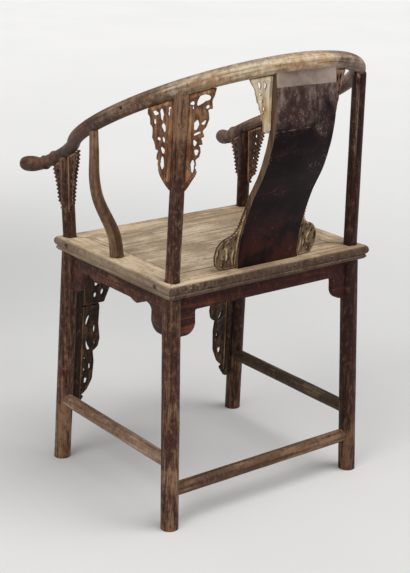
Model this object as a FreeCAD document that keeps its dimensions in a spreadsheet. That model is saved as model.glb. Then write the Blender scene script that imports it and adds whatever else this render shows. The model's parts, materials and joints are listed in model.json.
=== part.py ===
import FreeCAD, Part
import math
import os
import re

import Sketcher
from FreeCAD import Placement, Rotation, Vector

# Horseshoe back armchair of turned and carved hardwood, in millimetres and degrees.
# +Z is up, the front faces -Y and the sitter's left is +X. The origin is on the floor under
# the middle of the chair's outline, and depths are measured from the seat's centre.

DRIVING_SIZES = {
    # Clearances of the joints, and the overrun of tools that cut right through
    "fit_clearance": 0.15,
    "seat_clearance": 0.3,
    "cut_overrun": 6.0,
    # Seat frame, with its moulded edge, panel and battens; its centre lies behind the origin
    "seat_setback": 18.0,
    "seat_width": 521.5,
    "seat_depth": 413.8,
    "seat_height": 515.0,
    "seat_thickness": 31.0,
    "frame_rail_width": 62.0,
    "edge_round_height": 19.0,
    "edge_round_reach": 9.0,
    "edge_groove_height": 2.5,
    "edge_groove_depth": 5.0,
    "edge_bead_drop": 9.0,
    "edge_bead_setback": 3.0,
    "edge_foot_setback": 8.0,
    "frame_tenon_width": 10.5,
    "frame_tenon_thickness": 9.0,
    "frame_tenon_inset": 1.0,
    "panel_lip": 7.5,
    "panel_tongue_length": 7.0,
    "panel_tongue_thickness": 8.0,
    "batten_width": 38.0,
    "batten_spacing": 180.0,
    "batten_height": 15.0,
    "batten_tenon_length": 14.0,
    # Legs, which run on above the seat as posts
    "leg_seat_reach": 232.7,
    "rear_leg_depth": 175.5,
    "front_leg_depth": 183.0,
    "leg_splay_side": 10.7,
    "leg_splay_depth": 23.6,
    "leg_diameter": 37.0,
    "post_diameter": 29.0,
    "post_cope_clearance": 0.6,
    "rear_post_outset": 4.0,
    "rear_post_end_drop": 2.0,
    "front_post_end_drop": 6.0,
    "post_tenon_diameter": 12.0,
    "post_tenon_start": 30.0,
    "post_tenon_rise": 4.0,
    # Crest rail: a horseshoe in one tilted plane, with a reversed arc at each arm's end
    "rail_tilt": 27.2,
    "rail_centre_depth": 1.7,
    "rail_centre_rise": 279.7,
    "rail_radius": 298.1,
    "rail_arc_turn": 117.7,
    "rail_end_radius": 216.8,
    "rail_end_turn": 45.6,
    "rail_section_turn": 6.5,
    "rail_back_diameter": 35.0,
    "rail_shoulder_diameter": 32.5,
    "rail_arm_diameter": 29.5,
    "rail_neck_diameter": 26.0,
    "rear_post_turn": 47.5,
    "front_post_turn": 139.5,
    "side_post_turn": 89.5,
    # Scarf joints of the crest rail
    "back_scarf_turn": 29.0,
    "arm_scarf_turn": 71.0,
    "scarf_length": 62.0,
    "scarf_cog_length": 6.0,
    "scarf_cog_height": 4.5,
    "scarf_pin_side": 6.5,
    "scarf_pin_point": 5.0,
    # Hand grips
    "grip_rise": 19.4,
    "grip_yaw": 3.7,
    "grip_neck_radius": 12.0,
    "grip_back_length": 8.0,
    "grip_swell_length": 24.0,
    "grip_swell_radius": 16.5,
    "grip_length": 53.0,
    "grip_end_radius": 12.5,
    "grip_end_round": 6.0,
    "collar_width": 8.0,
    "collar_rise": 2.2,
    "rear_collar_turn": 151.5,
    "front_collar_turn": 160.5,
    # Curved side posts
    "side_post_edge_setback": 29.75,
    "side_post_foot_depth": 14.0,
    "side_post_foot_diameter": 31.0,
    "side_post_top_diameter": 20.0,
    "side_post_tenon_diameter": 18.0,
    "side_post_tenon_length": 20.0,
    # Splat: its back face is given by depths and heights over the seat, and its top by the rail
    "splat_foot_width": 157.0,
    "splat_top_width": 149.0,
    "splat_thickness": 18.0,
    "splat_foot_depth": 185.0,
    "splat_low_depth": 189.0,
    "splat_low_height": 60.0,
    "splat_turn_depth": 228.0,
    "splat_turn_height": 157.0,
    "splat_high_bulge": 3.0,
    "splat_high_height": 272.0,
    "splat_top_setback": 3.2,
    "splat_top_drop": 3.0,
    "splat_tenon_width": 118.0,
    "splat_tenon_thickness": 8.0,
    "splat_foot_tenon": 15.0,
    "splat_top_tenon": 7.0,
    # Carved brackets
    "bracket_thickness": 9.0,
    "bracket_scallop": 3.5,
    "rear_bracket_width": 64.0,
    "rear_bracket_height": 197.0,
    "front_bracket_width": 50.0,
    "arm_bracket_width": 62.0,
    "front_bracket_height": 123.5,
    "arm_bracket_heading": 82.0,
    "grip_bracket_heading": 88.0,
    "wing_width": 49.0,
    "wing_height": 128.0,
    "wing_advance": 4.8,
    "wing_yaw": 18.0,
    "foot_bracket_width": 56.0,
    "foot_bracket_height": 68.0,
    "foot_bracket_tail": 132.0,
    "foot_bracket_tail_width": 5.0,
    "foot_bracket_setback": 5.0,
    # Aprons under the seat
    "apron_thickness": 12.0,
    "apron_band": 34.0,
    "apron_foot_drop": 83.0,
    "side_apron_foot_width": 58.0,
    "rear_apron_foot_width": 53.0,
    "apron_foot_round": 22.0,
    "apron_notch_rise": 3.0,
    "apron_cusp_drop": 9.0,
    "apron_cusp_offset": 108.0,
    "apron_cusp_width": 22.0,
    # Carved front frame
    "front_panel_thickness": 11.0,
    "front_batten_width": 15.0,
    "front_batten_foot": 423.0,
    "top_panel_band": 62.0,
    "top_panel_drop": 165.0,
    "top_panel_leg_width": 55.0,
    "top_panel_arch_width": 80.0,
    "side_panel_width": 50.0,
    "side_panel_foot": 416.0,
    # Stretchers
    "stretcher_height": 30.0,
    "stretcher_width": 26.0,
    "side_stretcher_level": 141.0,
    "rear_stretcher_level": 81.0,
    "stretcher_tenon_height": 16.0,
    "stretcher_tenon_width": 9.0,
    "stretcher_tenon_length": 10.0,
}

# Outlines of the carved pieces as shares of their width, from the carrying piece outwards,
# and of their height, from the top down. They are chosen by hand.
BRACKET_EDGE_SHARES = (
    (1.0, 0.06),
    (0.93, 0.20),
    (0.80, 0.36),
    (0.72, 0.53),
    (0.65, 0.70),
    (0.62, 0.83),
    (0.36, 0.93),
    (0.24, 1.0),
)
BRACKET_HOLE_SHARES = (
    (0.68, 0.24, 0.18, 0.055),
    (0.42, 0.38, 0.13, 0.060),
    (0.54, 0.55, 0.13, 0.050),
    (0.44, 0.74, 0.11, 0.055),
)
FRONT_BRACKET_HOLE_SHARES = (
    (0.62, 0.34, 0.15, 0.07),
    (0.50, 0.62, 0.12, 0.07),
)
WING_EDGE_SHARES = (
    (1.0, 0.06),
    (0.84, 0.30),
    (0.62, 0.55),
    (0.34, 0.78),
    (0.10, 1.0),
)
WING_HOLE_SHARES = (
    (0.58, 0.27, 0.18, 0.07),
    (0.34, 0.52, 0.14, 0.08),
)
FOOT_BRACKET_EDGE_SHARES = (
    (0.75, 0.0, 1.0, 0.45),
    (0.83, 0.88, 0.62, 1.0),
    (0.36, 0.95, 0.20, 1.12),
)
FOOT_BRACKET_TAIL_SHARE = 1.33
FOOT_HOLE_SHARES = (
    (0.70, 0.60, 0.13, 0.18),
    (0.38, 0.52, 0.13, 0.22),
)
SIDE_PANEL_EDGE_SHARES = (
    (0.92, 0.00),
    (0.90, 0.19),
    (1.00, 0.33),
    (0.92, 0.41),
    (0.66, 0.43),
    (0.74, 0.54),
    (0.70, 0.74),
    (0.45, 0.86),
    (0.12, 0.92),
    (0.30, 0.935),
    (0.10, 1.0),
)
SIDE_PANEL_HOLE_SHARES = (
    (0.52, 0.13, 0.22, 0.040),
    (0.56, 0.30, 0.22, 0.040),
    (0.38, 0.52, 0.18, 0.040),
    (0.36, 0.72, 0.18, 0.040),
)
TOP_PANEL_ARCH_SHARES = (
    (0.0, 1.0),
    (0.18, 0.55),
    (0.55, 0.18),
    (0.78, 0.05),
    (1.0, 0.0),
)
TOP_PANEL_HOLE_SHARES = (
    (0.83, 0.62, 0.064, 0.14),
    (0.68, 0.36, 0.064, 0.10),
    (0.44, 0.22, 0.070, 0.06),
    (0.18, 0.20, 0.070, 0.06),
)
APRON_CORNER_SHARE = 0.3
SIDE_APRON_KNEE_SHARES = ((0.0, 0.5), (0.25, 0.15), (0.9, 0.0))
SIDE_APRON_CUSP_SHARES = ((0.0, 1.0), (0.4, 0.85), (1.0, 0.33))
REAR_APRON_KNEE_SHARES = ((0.0, 0.25), (0.06, 0.06), (0.25, 0.0))
SIDE_POST_LEVEL_SHARES = (0.0, 0.10, 0.17, 0.24, 0.31, 0.38, 0.45, 0.53, 0.64, 0.80, 1.0)
SIDE_POST_REACH_SHARES = (0.0, 0.06, 0.14, 0.27, 0.43, 0.59, 0.73, 0.84, 0.92, 0.95, 1.0)

doc = FreeCAD.newDocument("HorseshoeArmchair")
sheet = doc.addObject("Spreadsheet::Sheet", "Sizes")
for row, (size_name, size_value) in enumerate(DRIVING_SIZES.items(), start=1):
    sheet.set(f"A{row}", size_name)
    sheet.set(f"B{row}", str(size_value))
    sheet.setAlias(f"B{row}", size_name)
doc.recompute()

pieces = []


# Reading the sheet

def formula(text):
    """The text with every size name turned into a reference to its cell."""
    def reference(found):
        word = found.group()
        return f"Sizes.{word}" if word in DRIVING_SIZES else word
    return re.sub(r"[a-z_]+", reference, str(text))


def number(text):
    """What a formula comes to now."""
    return float(sheet.evalExpression(formula(text)))


def size(name):
    """One driving size."""
    return float(sheet.get(name))


# Document helpers

def origin_plane(body, role):
    return next(item for item in body.Origin.OriginFeatures if item.Role == role)


def new_sketch(body, role, offset=None):
    """A sketch on one of the body's own planes, moved along the plane's normal."""
    sketch = body.newObject("Sketcher::SketchObject", "Outline")
    sketch.AttachmentSupport = [(origin_plane(body, role), "")]
    sketch.MapMode = "FlatFace"
    if offset is not None:
        sketch.setExpression("AttachmentOffset.Base.z", formula(offset))
    return sketch


class Ties:
    """Constraints that a sketch takes in one go, some of them with formulas."""

    def __init__(self, sketch):
        self.sketch = sketch
        self.constraints = []
        self.formulas = {}

    def add(self, constraint, text=None):
        if text is not None:
            self.formulas[len(self.constraints)] = formula(text)
        self.constraints.append(constraint)

    def fix_point(self, geometry, position, x_text, y_text):
        """Ties a point of the sketch to two formulas."""
        for kind, text in (("DistanceX", x_text), ("DistanceY", y_text)):
            self.add(Sketcher.Constraint(kind, -1, 1, geometry, position, number(text)), text)

    def apply(self):
        first = self.sketch.ConstraintCount
        self.sketch.addConstraint(self.constraints)
        for index, text in self.formulas.items():
            self.sketch.setExpression(f"Constraints[{first + index}]", text)


def corner_vector(corner, index=0):
    return Vector(number(corner[index]), number(corner[index + 1]), 0)


def add_outline(sketch, corners):
    """A closed outline. A corner is x, y and, for an arc to the next one, the arc's middle x, y."""
    ties = Ties(sketch)
    points = [corner_vector(corner) for corner in corners]
    edges = []
    starts = []
    for index, corner in enumerate(corners):
        start = points[index]
        end = points[(index + 1) % len(points)]
        begins_at_start = True
        edge = Part.LineSegment(start, end)
        if len(corner) > 2:
            middle = corner_vector(corner, 2)
            begins_at_start = (middle - start).cross(end - middle).z > 0
            edge = Part.Arc(start, middle, end) if begins_at_start else Part.Arc(end, middle, start)
        edges.append(sketch.addGeometry(edge, False))
        starts.append(1 if begins_at_start else 2)
    for index, corner in enumerate(corners):
        following = (index + 1) % len(corners)
        ties.fix_point(edges[index], starts[index], corner[0], corner[1])
        ties.add(Sketcher.Constraint("Coincident", edges[index], 3 - starts[index],
                                     edges[following], starts[following]))
        if len(corner) > 2:
            marker = sketch.addGeometry(Part.Point(corner_vector(corner, 2)), True)
            ties.fix_point(marker, 1, corner[2], corner[3])
            ties.add(Sketcher.Constraint("PointOnObject", marker, 1, edges[index]))
    ties.apply()


def add_circle(sketch, x_text, y_text, diameter_text):
    ties = Ties(sketch)
    diameter = number(diameter_text)
    circle = Part.Circle(corner_vector((x_text, y_text)), Vector(0, 0, 1), diameter / 2)
    geometry = sketch.addGeometry(circle, False)
    ties.fix_point(geometry, 3, x_text, y_text)
    ties.add(Sketcher.Constraint("Diameter", geometry, diameter), diameter_text)
    ties.apply()


def new_body(name):
    return doc.addObject("PartDesign::Body", name)


def pad(body, sketch, length):
    """A pad of the sketch, half of it on each side of its plane."""
    feature = body.newObject("PartDesign::Pad", "Pad")
    feature.Profile = sketch
    feature.SideType = "Symmetric"
    feature.setExpression("Length", formula(length))
    body.Tip = feature
    return feature


def cut_through(body, sketch, length):
    """A pocket of the sketch on both sides of its plane."""
    feature = body.newObject("PartDesign::Pocket", "Pocket")
    feature.Profile = sketch
    feature.SideType = "Symmetric"
    feature.setExpression("Length", formula(length))
    body.Tip = feature
    return feature


def plate(name, role, corners, thickness, holes=(), offset=None):
    """A flat piece cut to an outline and pierced."""
    body = new_body(name)
    outline = new_sketch(body, role, offset)
    add_outline(outline, corners)
    pad(body, outline, thickness)
    for hole in holes:
        piercing = new_sketch(body, role, offset)
        add_outline(piercing, hole)
        cut_through(body, piercing, f"{thickness} + cut_overrun")
    return body


def rectangle(x_low, x_high, y_low, y_high):
    """The four corners of an upright rectangle."""
    return [(x_low, y_low), (x_high, y_low), (x_high, y_high), (x_low, y_high)]


def oval(width, height, x_text="0", y_text="0"):
    """Four arcs through the quarter points of an ellipse."""
    x_reach = f"({width}) / 2 * cos(45)"
    y_reach = f"({height}) / 2 * sin(45)"
    return [
        (f"{x_text} + {x_reach}", f"{y_text} + {y_reach}", x_text, f"{y_text} + ({height}) / 2"),
        (f"{x_text} - {x_reach}", f"{y_text} + {y_reach}", f"{x_text} - ({width}) / 2", y_text),
        (f"{x_text} - {x_reach}", f"{y_text} - {y_reach}", x_text, f"{y_text} - ({height}) / 2"),
        (f"{x_text} + {x_reach}", f"{y_text} - {y_reach}", f"{x_text} + ({width}) / 2", y_text),
    ]


def leaf(x_text, y_text, half_width, half_height):
    """An upright leaf-shaped hole of two arcs."""
    return [
        (x_text, f"{y_text} + {half_height}", f"{x_text} + {half_width}", y_text),
        (x_text, f"{y_text} - {half_height}", f"{x_text} - {half_width}", y_text),
    ]


def rod(name, stations):
    """A turned piece through round stations of x, y, level and diameter."""
    body = new_body(name)
    sketches = []
    for x_text, y_text, level, diameter in stations:
        sketch = new_sketch(body, "XY_Plane", level)
        add_circle(sketch, x_text, y_text, diameter)
        sketches.append(sketch)
    loft = body.newObject("PartDesign::AdditiveLoft", "Bar")
    loft.Profile = sketches[0]
    loft.Sections = sketches[1:]
    loft.Ruled = True
    body.Tip = loft
    return body


def leaning_bar(name, low, high, diameter, low_overrun="0", high_overrun="0"):
    """A round bar from one point to another, lengthened at each end along its own axis."""
    run = [f"(({end}) - ({start}))" for start, end in zip(low, high)]
    length = f"sqrt({' + '.join(f'{part} ^ 2' for part in run)})"
    middle_share = f"(0.5 + (({high_overrun}) - ({low_overrun})) / {length} / 2)"
    body = new_body(name)
    section = new_sketch(body, "XY_Plane")
    add_circle(section, "0", "0", diameter)
    pad(body, section, f"{length} + ({low_overrun}) + ({high_overrun})")
    across = (f"-{run[1]} / {length}", f"{run[0]} / {length}")
    lean = f"acos({run[2]} / {length})"
    body.Placement = Placement(Vector(), Rotation(corner_vector(across), number(lean)))
    for letter, start, part in zip("xyz", low, run):
        body.setExpression(f"Placement.Base.{letter}", formula(f"{start} + {part} * {middle_share}"))
    for letter, text in zip("xy", across):
        body.setExpression(f"Placement.Rotation.Axis.{letter}", formula(text))
    body.setExpression("Placement.Rotation.Angle", formula(lean))
    return body


def slice_box(name, low, high):
    """A wide box between two levels, to trim a leaning piece flat."""
    box = doc.addObject("Part::Box", name)
    for side, text in (("Length", "seat_width * 2"), ("Width", "seat_width * 2"), ("Height", f"({high}) - ({low})")):
        box.setExpression(side, formula(text))
    for letter, text in (("x", "-seat_width"), ("y", "-seat_width"), ("z", low)):
        box.setExpression(f"Placement.Base.{letter}", formula(text))
    return box


def place(body, base, axis=None, angle="0"):
    """Puts a body at a point of three formulas, turned about an axis."""
    body.Placement = Placement(Vector(), Rotation(axis or Vector(0, 0, 1), number(angle)))
    for letter, text in zip("xyz", base):
        body.setExpression(f"Placement.Base.{letter}", formula(text))
    if axis is not None:
        body.setExpression("Placement.Rotation.Angle", formula(angle))


def fuse(name, parts):
    feature = doc.addObject("Part::MultiFuse", name)
    feature.Shapes = parts
    return feature


def cut(name, base, tools):
    """The base without the tools, one after another."""
    for tool in tools:
        feature = doc.addObject("Part::Cut", name)
        feature.Base = base
        feature.Tool = tool
        feature.Refine = False
        base = feature
    return base


def common(name, first, second):
    feature = doc.addObject("Part::Common", name)
    feature.Base = first
    feature.Tool = second
    return feature


def mirrored(name, source):
    """The same piece on the sitter's other side."""
    feature = doc.addObject("Part::Mirroring", name)
    feature.Source = source
    feature.Normal = Vector(1, 0, 0)
    return feature


def keep(piece, label):
    """Marks an object as a piece of the chair under its plain name."""
    piece.Label = label
    pieces.append(piece)
    return piece


def keep_pair(piece, label):
    """Keeps a left-hand piece and its mirror image."""
    keep(piece, f"{label}_left")
    keep(mirrored(f"{label}_mirror", piece), f"{label}_right")


def both_sides(tools):
    """Left-hand tools and their mirror images."""
    return tools + [mirrored(f"{tool.Name}_mirror", tool) for tool in tools]


# Lines that the pieces share

def rail_point(turn, reach="rail_radius"):
    """Centre of the crest rail's main arc, or a point beside it, that far round from the back."""
    along = f"{reach} * cos({turn})"
    return (f"{reach} * sin({turn})",
            f"seat_setback + rail_centre_depth + {along} * cos(rail_tilt)",
            f"seat_height + rail_centre_rise + {along} * sin(rail_tilt)")


def rail_end_point(turn):
    """The same on the reversed arc of the left arm."""
    back = f"(rail_arc_turn - 90 - ({turn} - rail_arc_turn))"
    reach = "(rail_radius + rail_end_radius)"
    along = f"(rail_end_radius * sin{back} - {reach} * sin(rail_arc_turn - 90))"
    return (f"{reach} * cos(rail_arc_turn - 90) - rail_end_radius * cos{back}",
            f"seat_setback + rail_centre_depth + {along} * cos(rail_tilt)",
            f"seat_height + rail_centre_rise + {along} * sin(rail_tilt)")


def leg_axis(depth, level):
    """Centre of the left leg of that depth (in Y) at a level under the seat."""
    drop = f"(seat_height - ({level})) / seat_height"
    sign = "-" if depth.startswith("-") else "+"
    return (f"leg_seat_reach + leg_splay_side * {drop}",
            f"{depth} + seat_setback {sign} leg_splay_depth * {drop}")


REAR_LEG = "rear_leg_depth"
FRONT_LEG = "-front_leg_depth"
UNDERSIDE = "seat_height - seat_thickness"
REAR_POST_TOP = rail_point("rear_post_turn", "(rail_radius + rear_post_outset)")
FRONT_POST_TOP = rail_end_point("front_post_turn")
HALF_WIDTH = "seat_width / 2"
HALF_DEPTH = "seat_depth / 2"
SIDE_POST_TOP = rail_point("side_post_turn")
RAIL_BACK = rail_point("0")
SPLAT_TOP = f"({RAIL_BACK[2]} - splat_top_drop)"
SPLAT_TOP_BACK = f"({RAIL_BACK[1]} + splat_top_setback)"
SIDE_POST_FOOT = (f"({HALF_WIDTH} - side_post_edge_setback)", "(seat_setback - side_post_foot_depth)")
LEAN_SIDE = "atan(leg_splay_side / seat_height)"
LEAN_DEPTH = "atan(leg_splay_depth / seat_height)"


def post_axis(depth, top, level):
    """Centre of the left post between the seat's underside and the rail at a level."""
    foot = leg_axis(depth, UNDERSIDE)
    share = f"(({level}) - ({UNDERSIDE})) / (({top[2]}) - ({UNDERSIDE}))"
    return tuple(f"{low} + (({high}) - ({low})) * ({share})" for low, high in zip(foot, top))


# Crest rail

class RailPath:
    """The centre line of the crest rail, by the angle that it has turned from the back."""

    def __init__(self):
        tilt = math.radians(size("rail_tilt"))
        self.across = Vector(1, 0, 0)
        self.along = Vector(0, math.cos(tilt), math.sin(tilt))
        self.normal = self.across.cross(self.along)
        self.centre = Vector(0, size("seat_setback") + size("rail_centre_depth"),
                             size("seat_height") + size("rail_centre_rise"))

    def local(self, u, w):
        return self.centre + self.across * u + self.along * w

    def frame(self, turn):
        """Centre and forward direction on the left side, or on the right for a negative turn."""
        side = -1 if turn < 0 else 1
        turn = abs(turn)
        radius = size("rail_radius")
        arc_turn = size("rail_arc_turn")
        if turn <= arc_turn:
            angle = math.radians(turn)
            u = radius * math.sin(angle)
            w = radius * math.cos(angle)
            heading = angle
        else:
            end = math.radians(arc_turn)
            angle = math.radians(arc_turn - (turn - arc_turn))
            bend = size("rail_end_radius")
            u = (radius + bend) * math.sin(end) - bend * math.sin(angle)
            w = (radius + bend) * math.cos(end) - bend * math.cos(angle)
            heading = angle
        forward = self.across * math.cos(heading) - self.along * math.sin(heading)
        point = self.local(side * u, w)
        forward = Vector(forward.x, forward.y * side, forward.z * side)
        return point, forward

    def radius(self, turn):
        """Half thickness of the rail, straight between its named diameters."""
        stations = (
            (0.0, size("rail_back_diameter")),
            (size("rear_post_turn"), size("rail_shoulder_diameter")),
            (size("side_post_turn"), size("rail_arm_diameter")),
            (size("front_post_turn"), size("rail_neck_diameter")),
            (size("rail_arc_turn") + size("rail_end_turn"), size("rail_neck_diameter")),
        )
        turn = abs(turn)
        for (low_turn, low), (high_turn, high) in zip(stations, stations[1:]):
            if turn <= high_turn:
                share = (turn - low_turn) / (high_turn - low_turn)
                return (low + (high - low) * share) / 2
        return stations[-1][1] / 2

    def section(self, turn, extra):
        """A round section square to the rail."""
        point, forward = self.frame(turn)
        circle = Part.Wire(Part.makeCircle(self.radius(turn) + extra))
        inward = self.normal.cross(forward)
        turned = Rotation(self.normal, inward, forward, "ZXY")
        circle.Placement = Placement(point, turned)
        return circle

    def loft(self, start, end, extra=0.0):
        """A length of the rail that covers two turns. Its sections stand on steps that all lengths share."""
        step = size("rail_section_turn")
        turns = [step * index for index in range(math.floor(start / step), math.ceil(end / step) + 1)]
        turns[-1] = min(turns[-1], size("rail_arc_turn") + size("rail_end_turn"))
        return Part.makeLoft([self.section(turn, extra) for turn in turns], True, True)

    def straight(self, turn, extra):
        """A straight bar along the rail at a turn, as thick as the rail and a clearance."""
        point, forward = self.frame(turn)
        reach = size("rail_back_diameter")
        return Part.makeCylinder(self.radius(turn) + extra, reach * 2, point - forward * reach, forward)

    def slab(self, start, end, low, high):
        """A block round a stretch of the main arc, between two levels over the rail's plane."""
        reach = size("rail_back_diameter")
        outward = self.across * math.sin(math.radians(start)) + self.along * math.cos(math.radians(start))
        corners = [
            self.centre + outward * (size("rail_radius") + step) + self.normal * level
            for step, level in ((-reach, low), (reach, low), (reach, high), (-reach, high))
        ]
        face = Part.Face(Part.makePolygon(corners + corners[:1]))
        return face.revolve(self.centre, self.normal, start - end)


rail = RailPath()


def scarf_turns():
    """Half the overlap and the cog's length, as angles of the main arc."""
    radius = size("rail_radius")
    return math.degrees(size("scarf_length") / 2 / radius), math.degrees(size("scarf_cog_length") / radius)


def scarf_slabs(turn, owner):
    """What a scarf takes from the piece before it or after it, counted from the back."""
    half, cog = scarf_turns()
    step = size("scarf_cog_height")
    reach = size("rail_back_diameter")
    far = half + cog * 2 + size("rail_section_turn")
    if owner == "before":
        return [
            rail.slab(turn - half, turn + far, step, reach),
            rail.slab(turn - half - cog, turn + far, 0.0, step),
            rail.slab(turn + half + cog, turn + far, -step, 0.0),
            rail.slab(turn + half, turn + far, -reach, -step),
        ]
    return [
        rail.slab(turn - far, turn + half, -reach, -step),
        rail.slab(turn - far, turn + half + cog, -step, 0.0),
        rail.slab(turn - far, turn - half - cog, 0.0, step),
        rail.slab(turn - far, turn - half, step, reach),
    ]


def scarf_pin(turn, extra):
    """The tapered square pin that locks a scarf, driven in from outside."""
    point, forward = rail.frame(turn)
    outward = forward.cross(rail.normal) * -1
    if outward.dot(point - rail.centre) < 0:
        outward = outward * -1
    squares = []
    for reach, side in ((1, "scarf_pin_side"), (-1, "scarf_pin_point")):
        half = size(side) / 2 + extra
        middle = point + outward * (reach * size("rail_back_diameter"))
        corners = [
            middle + forward * (half * a) + rail.normal * (half * b)
            for a, b in ((-1, -1), (1, -1), (1, 1), (-1, 1))
        ]
        squares.append(Part.makePolygon(corners + corners[:1]))
    return Part.makeLoft(squares, True, True)


def flipped(shape):
    return shape.mirror(Vector(), Vector(1, 0, 0))


def turned_piece(points, point, forward):
    """A profile of distance along and radius, joined by straight lines and arcs, spun on its axis."""
    side = rail.normal - forward * rail.normal.dot(forward)
    side.normalize()
    edges = []
    position = None
    for item in points:
        spots = [point + forward * item[i] + side * item[i + 1] for i in range(0, len(item), 2)]
        if position is not None and len(spots) == 1:
            edges.append(Part.makeLine(position, spots[0]))
        elif position is not None:
            edges.append(Part.Arc(position, spots[0], spots[1]).toShape())
        position = spots[-1]
    first = points[0]
    start = point + forward * first[0] + side * first[1]
    edges.append(Part.makeLine(position, start))
    return Part.Face(Part.Wire(edges)).revolve(point, forward, 360)


def collar(turn):
    """A half-round bead about the arm."""
    point, forward = rail.frame(turn)
    half = size("collar_width") / 2
    low = rail.radius(turn) - size("collar_rise")
    high = rail.radius(turn) + size("collar_rise")
    return turned_piece([(-half, 0.0), (-half, low), (0.0, high, half, low), (half, 0.0)], point, forward)


def hand_grip():
    """The swelling grip at the end of the left arm, nearly level and turned a little out."""
    point, forward = rail.frame(size("rail_arc_turn") + size("rail_end_turn"))
    heading = math.atan2(forward.y, forward.x) + math.radians(size("grip_yaw"))
    rise = math.asin(forward.z) + math.radians(size("grip_rise"))
    level = math.cos(rise)
    axis = Vector(level * math.cos(heading), level * math.sin(heading), math.sin(rise))
    neck = size("grip_neck_radius")
    end = size("grip_end_radius")
    length = size("grip_length")
    swell = size("grip_swell_radius")
    rounding = size("grip_end_round")
    corner = math.cos(math.radians(45))
    profile = [
        (-size("grip_back_length"), 0.0),
        (-size("grip_back_length"), neck),
        (0.0, neck),
        (size("grip_swell_length"), swell, length - rounding, end),
        (length - rounding + rounding * corner, end - rounding + rounding * corner,
         length, end - rounding),
        (length, 0.0),
    ]
    return turned_piece(profile, point, axis)


def rail_feature(name, shape):
    feature = doc.addObject("Part::Feature", name)
    feature.Shape = shape
    return feature


half_scarf, cog_turn = scarf_turns()
back_scarf = size("back_scarf_turn")
arm_scarf = size("arm_scarf_turn")
rail_end = size("rail_arc_turn") + size("rail_end_turn")
reach_past = half_scarf + cog_turn
pin_clearance = size("fit_clearance")

back_slabs = scarf_slabs(back_scarf, "before")
back_hole = scarf_pin(back_scarf, pin_clearance)
back_tools = back_slabs + [back_hole]
back_shape = rail.loft(-back_scarf - reach_past, back_scarf + reach_past)
back_shape = back_shape.cut(back_tools + [flipped(tool) for tool in back_tools])
rail_back = rail_feature("RailBack", back_shape)

shoulder_tools = scarf_slabs(back_scarf, "after") + scarf_slabs(arm_scarf, "before")
shoulder_tools += [back_hole, scarf_pin(arm_scarf, pin_clearance)]
shoulder_shape = rail.loft(back_scarf - reach_past, arm_scarf + reach_past).cut(shoulder_tools)
rail_shoulder = rail_feature("RailShoulder", shoulder_shape)

arm_tools = scarf_slabs(arm_scarf, "after") + [scarf_pin(arm_scarf, pin_clearance)]
arm_shape = rail.loft(arm_scarf - reach_past, rail_end)
arm_shape = arm_shape.fuse([collar(size("rear_collar_turn")), collar(size("front_collar_turn")), hand_grip()])
rail_arm = rail_feature("RailArm", arm_shape.cut(arm_tools))

pins = []
for pin_turn in (back_scarf, arm_scarf):
    around = rail.loft(pin_turn - half_scarf, pin_turn + half_scarf)
    pin = scarf_pin(pin_turn, 0.0).common(around)
    pins += [pin, flipped(pin)]
keep(rail_feature("ScarfPins", Part.makeCompound(pins)), "rail_scarf_pins")

# The space that the rail takes from the pieces under it, and what copes the posts round it
rear_turn = size("rear_post_turn")
rear_reach = math.degrees(math.asin(size("rear_bracket_width") / size("rail_radius"))) + size("rail_section_turn")
rear_room = rail.loft(rear_turn - rear_reach, rear_turn + rear_reach, pin_clearance)
rear_envelope = rail_feature("RailRearEnvelope", rear_room)
front_turn = size("front_post_turn")
front_reach = math.degrees(math.asin(size("arm_bracket_width") / size("rail_end_radius"))) + size("rail_section_turn")
front_room = rail.loft(front_turn - front_reach, min(front_turn + front_reach, rail_end - cog_turn), pin_clearance)
front_envelope = rail_feature("RailFrontEnvelope", front_room)
back_envelope = rail_feature("RailBackEnvelope", rail.loft(-rear_turn, rear_turn, pin_clearance))
post_clearance = size("post_cope_clearance")
rear_cope = rail_feature("RearPostCope", rail.straight(rear_turn, post_clearance))
front_cope = rail_feature("FrontPostCope", rail.straight(front_turn, post_clearance))
side_cope = rail_feature("SidePostCope", rail.straight(size("side_post_turn"), post_clearance))


# Legs and posts

below_seat = slice_box("BelowSeat", "0", UNDERSIDE)


def leg(label, depth, top, cope, end_drop):
    """A splayed leg that carries the seat on its shoulder and runs on to the rail as a post."""
    foot = (*leg_axis(depth, "0"), "0")
    shoulder = (*leg_axis(depth, UNDERSIDE), UNDERSIDE)
    blank = leaning_bar(f"{label}_blank", foot, shoulder, "leg_diameter", "cut_overrun", "cut_overrun")
    trimmed = common(f"{label}_trimmed", blank, below_seat)
    post = leaning_bar(f"{label}_post", shoulder, top, "post_diameter", "cut_overrun", f"-{end_drop}")
    coped = cut(f"{label}_coped", post, [cope])
    tenon_run = ("post_tenon_diameter", f"post_tenon_start - {post_length(shoulder, top)}", "post_tenon_rise")
    tenon = leaning_bar(f"{label}_tenon", shoulder, top, *tenon_run)
    return {
        "turned": fuse(f"{label}_turned", [trimmed, coped, tenon]),
        "leg_room": leaning_bar(f"{label}_leg_room", foot, shoulder, "leg_diameter + fit_clearance * 2",
                                "cut_overrun", "cut_overrun"),
        "post_room": leaning_bar(f"{label}_post_room", shoulder, top, "post_diameter + fit_clearance * 2",
                                 "cut_overrun"),
        "tenon_room": leaning_bar(f"{label}_tenon_room", shoulder, top, "post_tenon_diameter + fit_clearance * 2",
                                  *tenon_run[1:]),
    }


def post_length(shoulder, top):
    """Length of a post from the seat's underside to the rail's centre."""
    return f"sqrt({' + '.join(f'(({high}) - ({low})) ^ 2' for low, high in zip(shoulder, top))})"


rear = leg("rear_leg", REAR_LEG, REAR_POST_TOP, rear_cope, "rear_post_end_drop")
front = leg("front_leg", FRONT_LEG, FRONT_POST_TOP, front_cope, "front_post_end_drop")


# Stretchers

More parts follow.
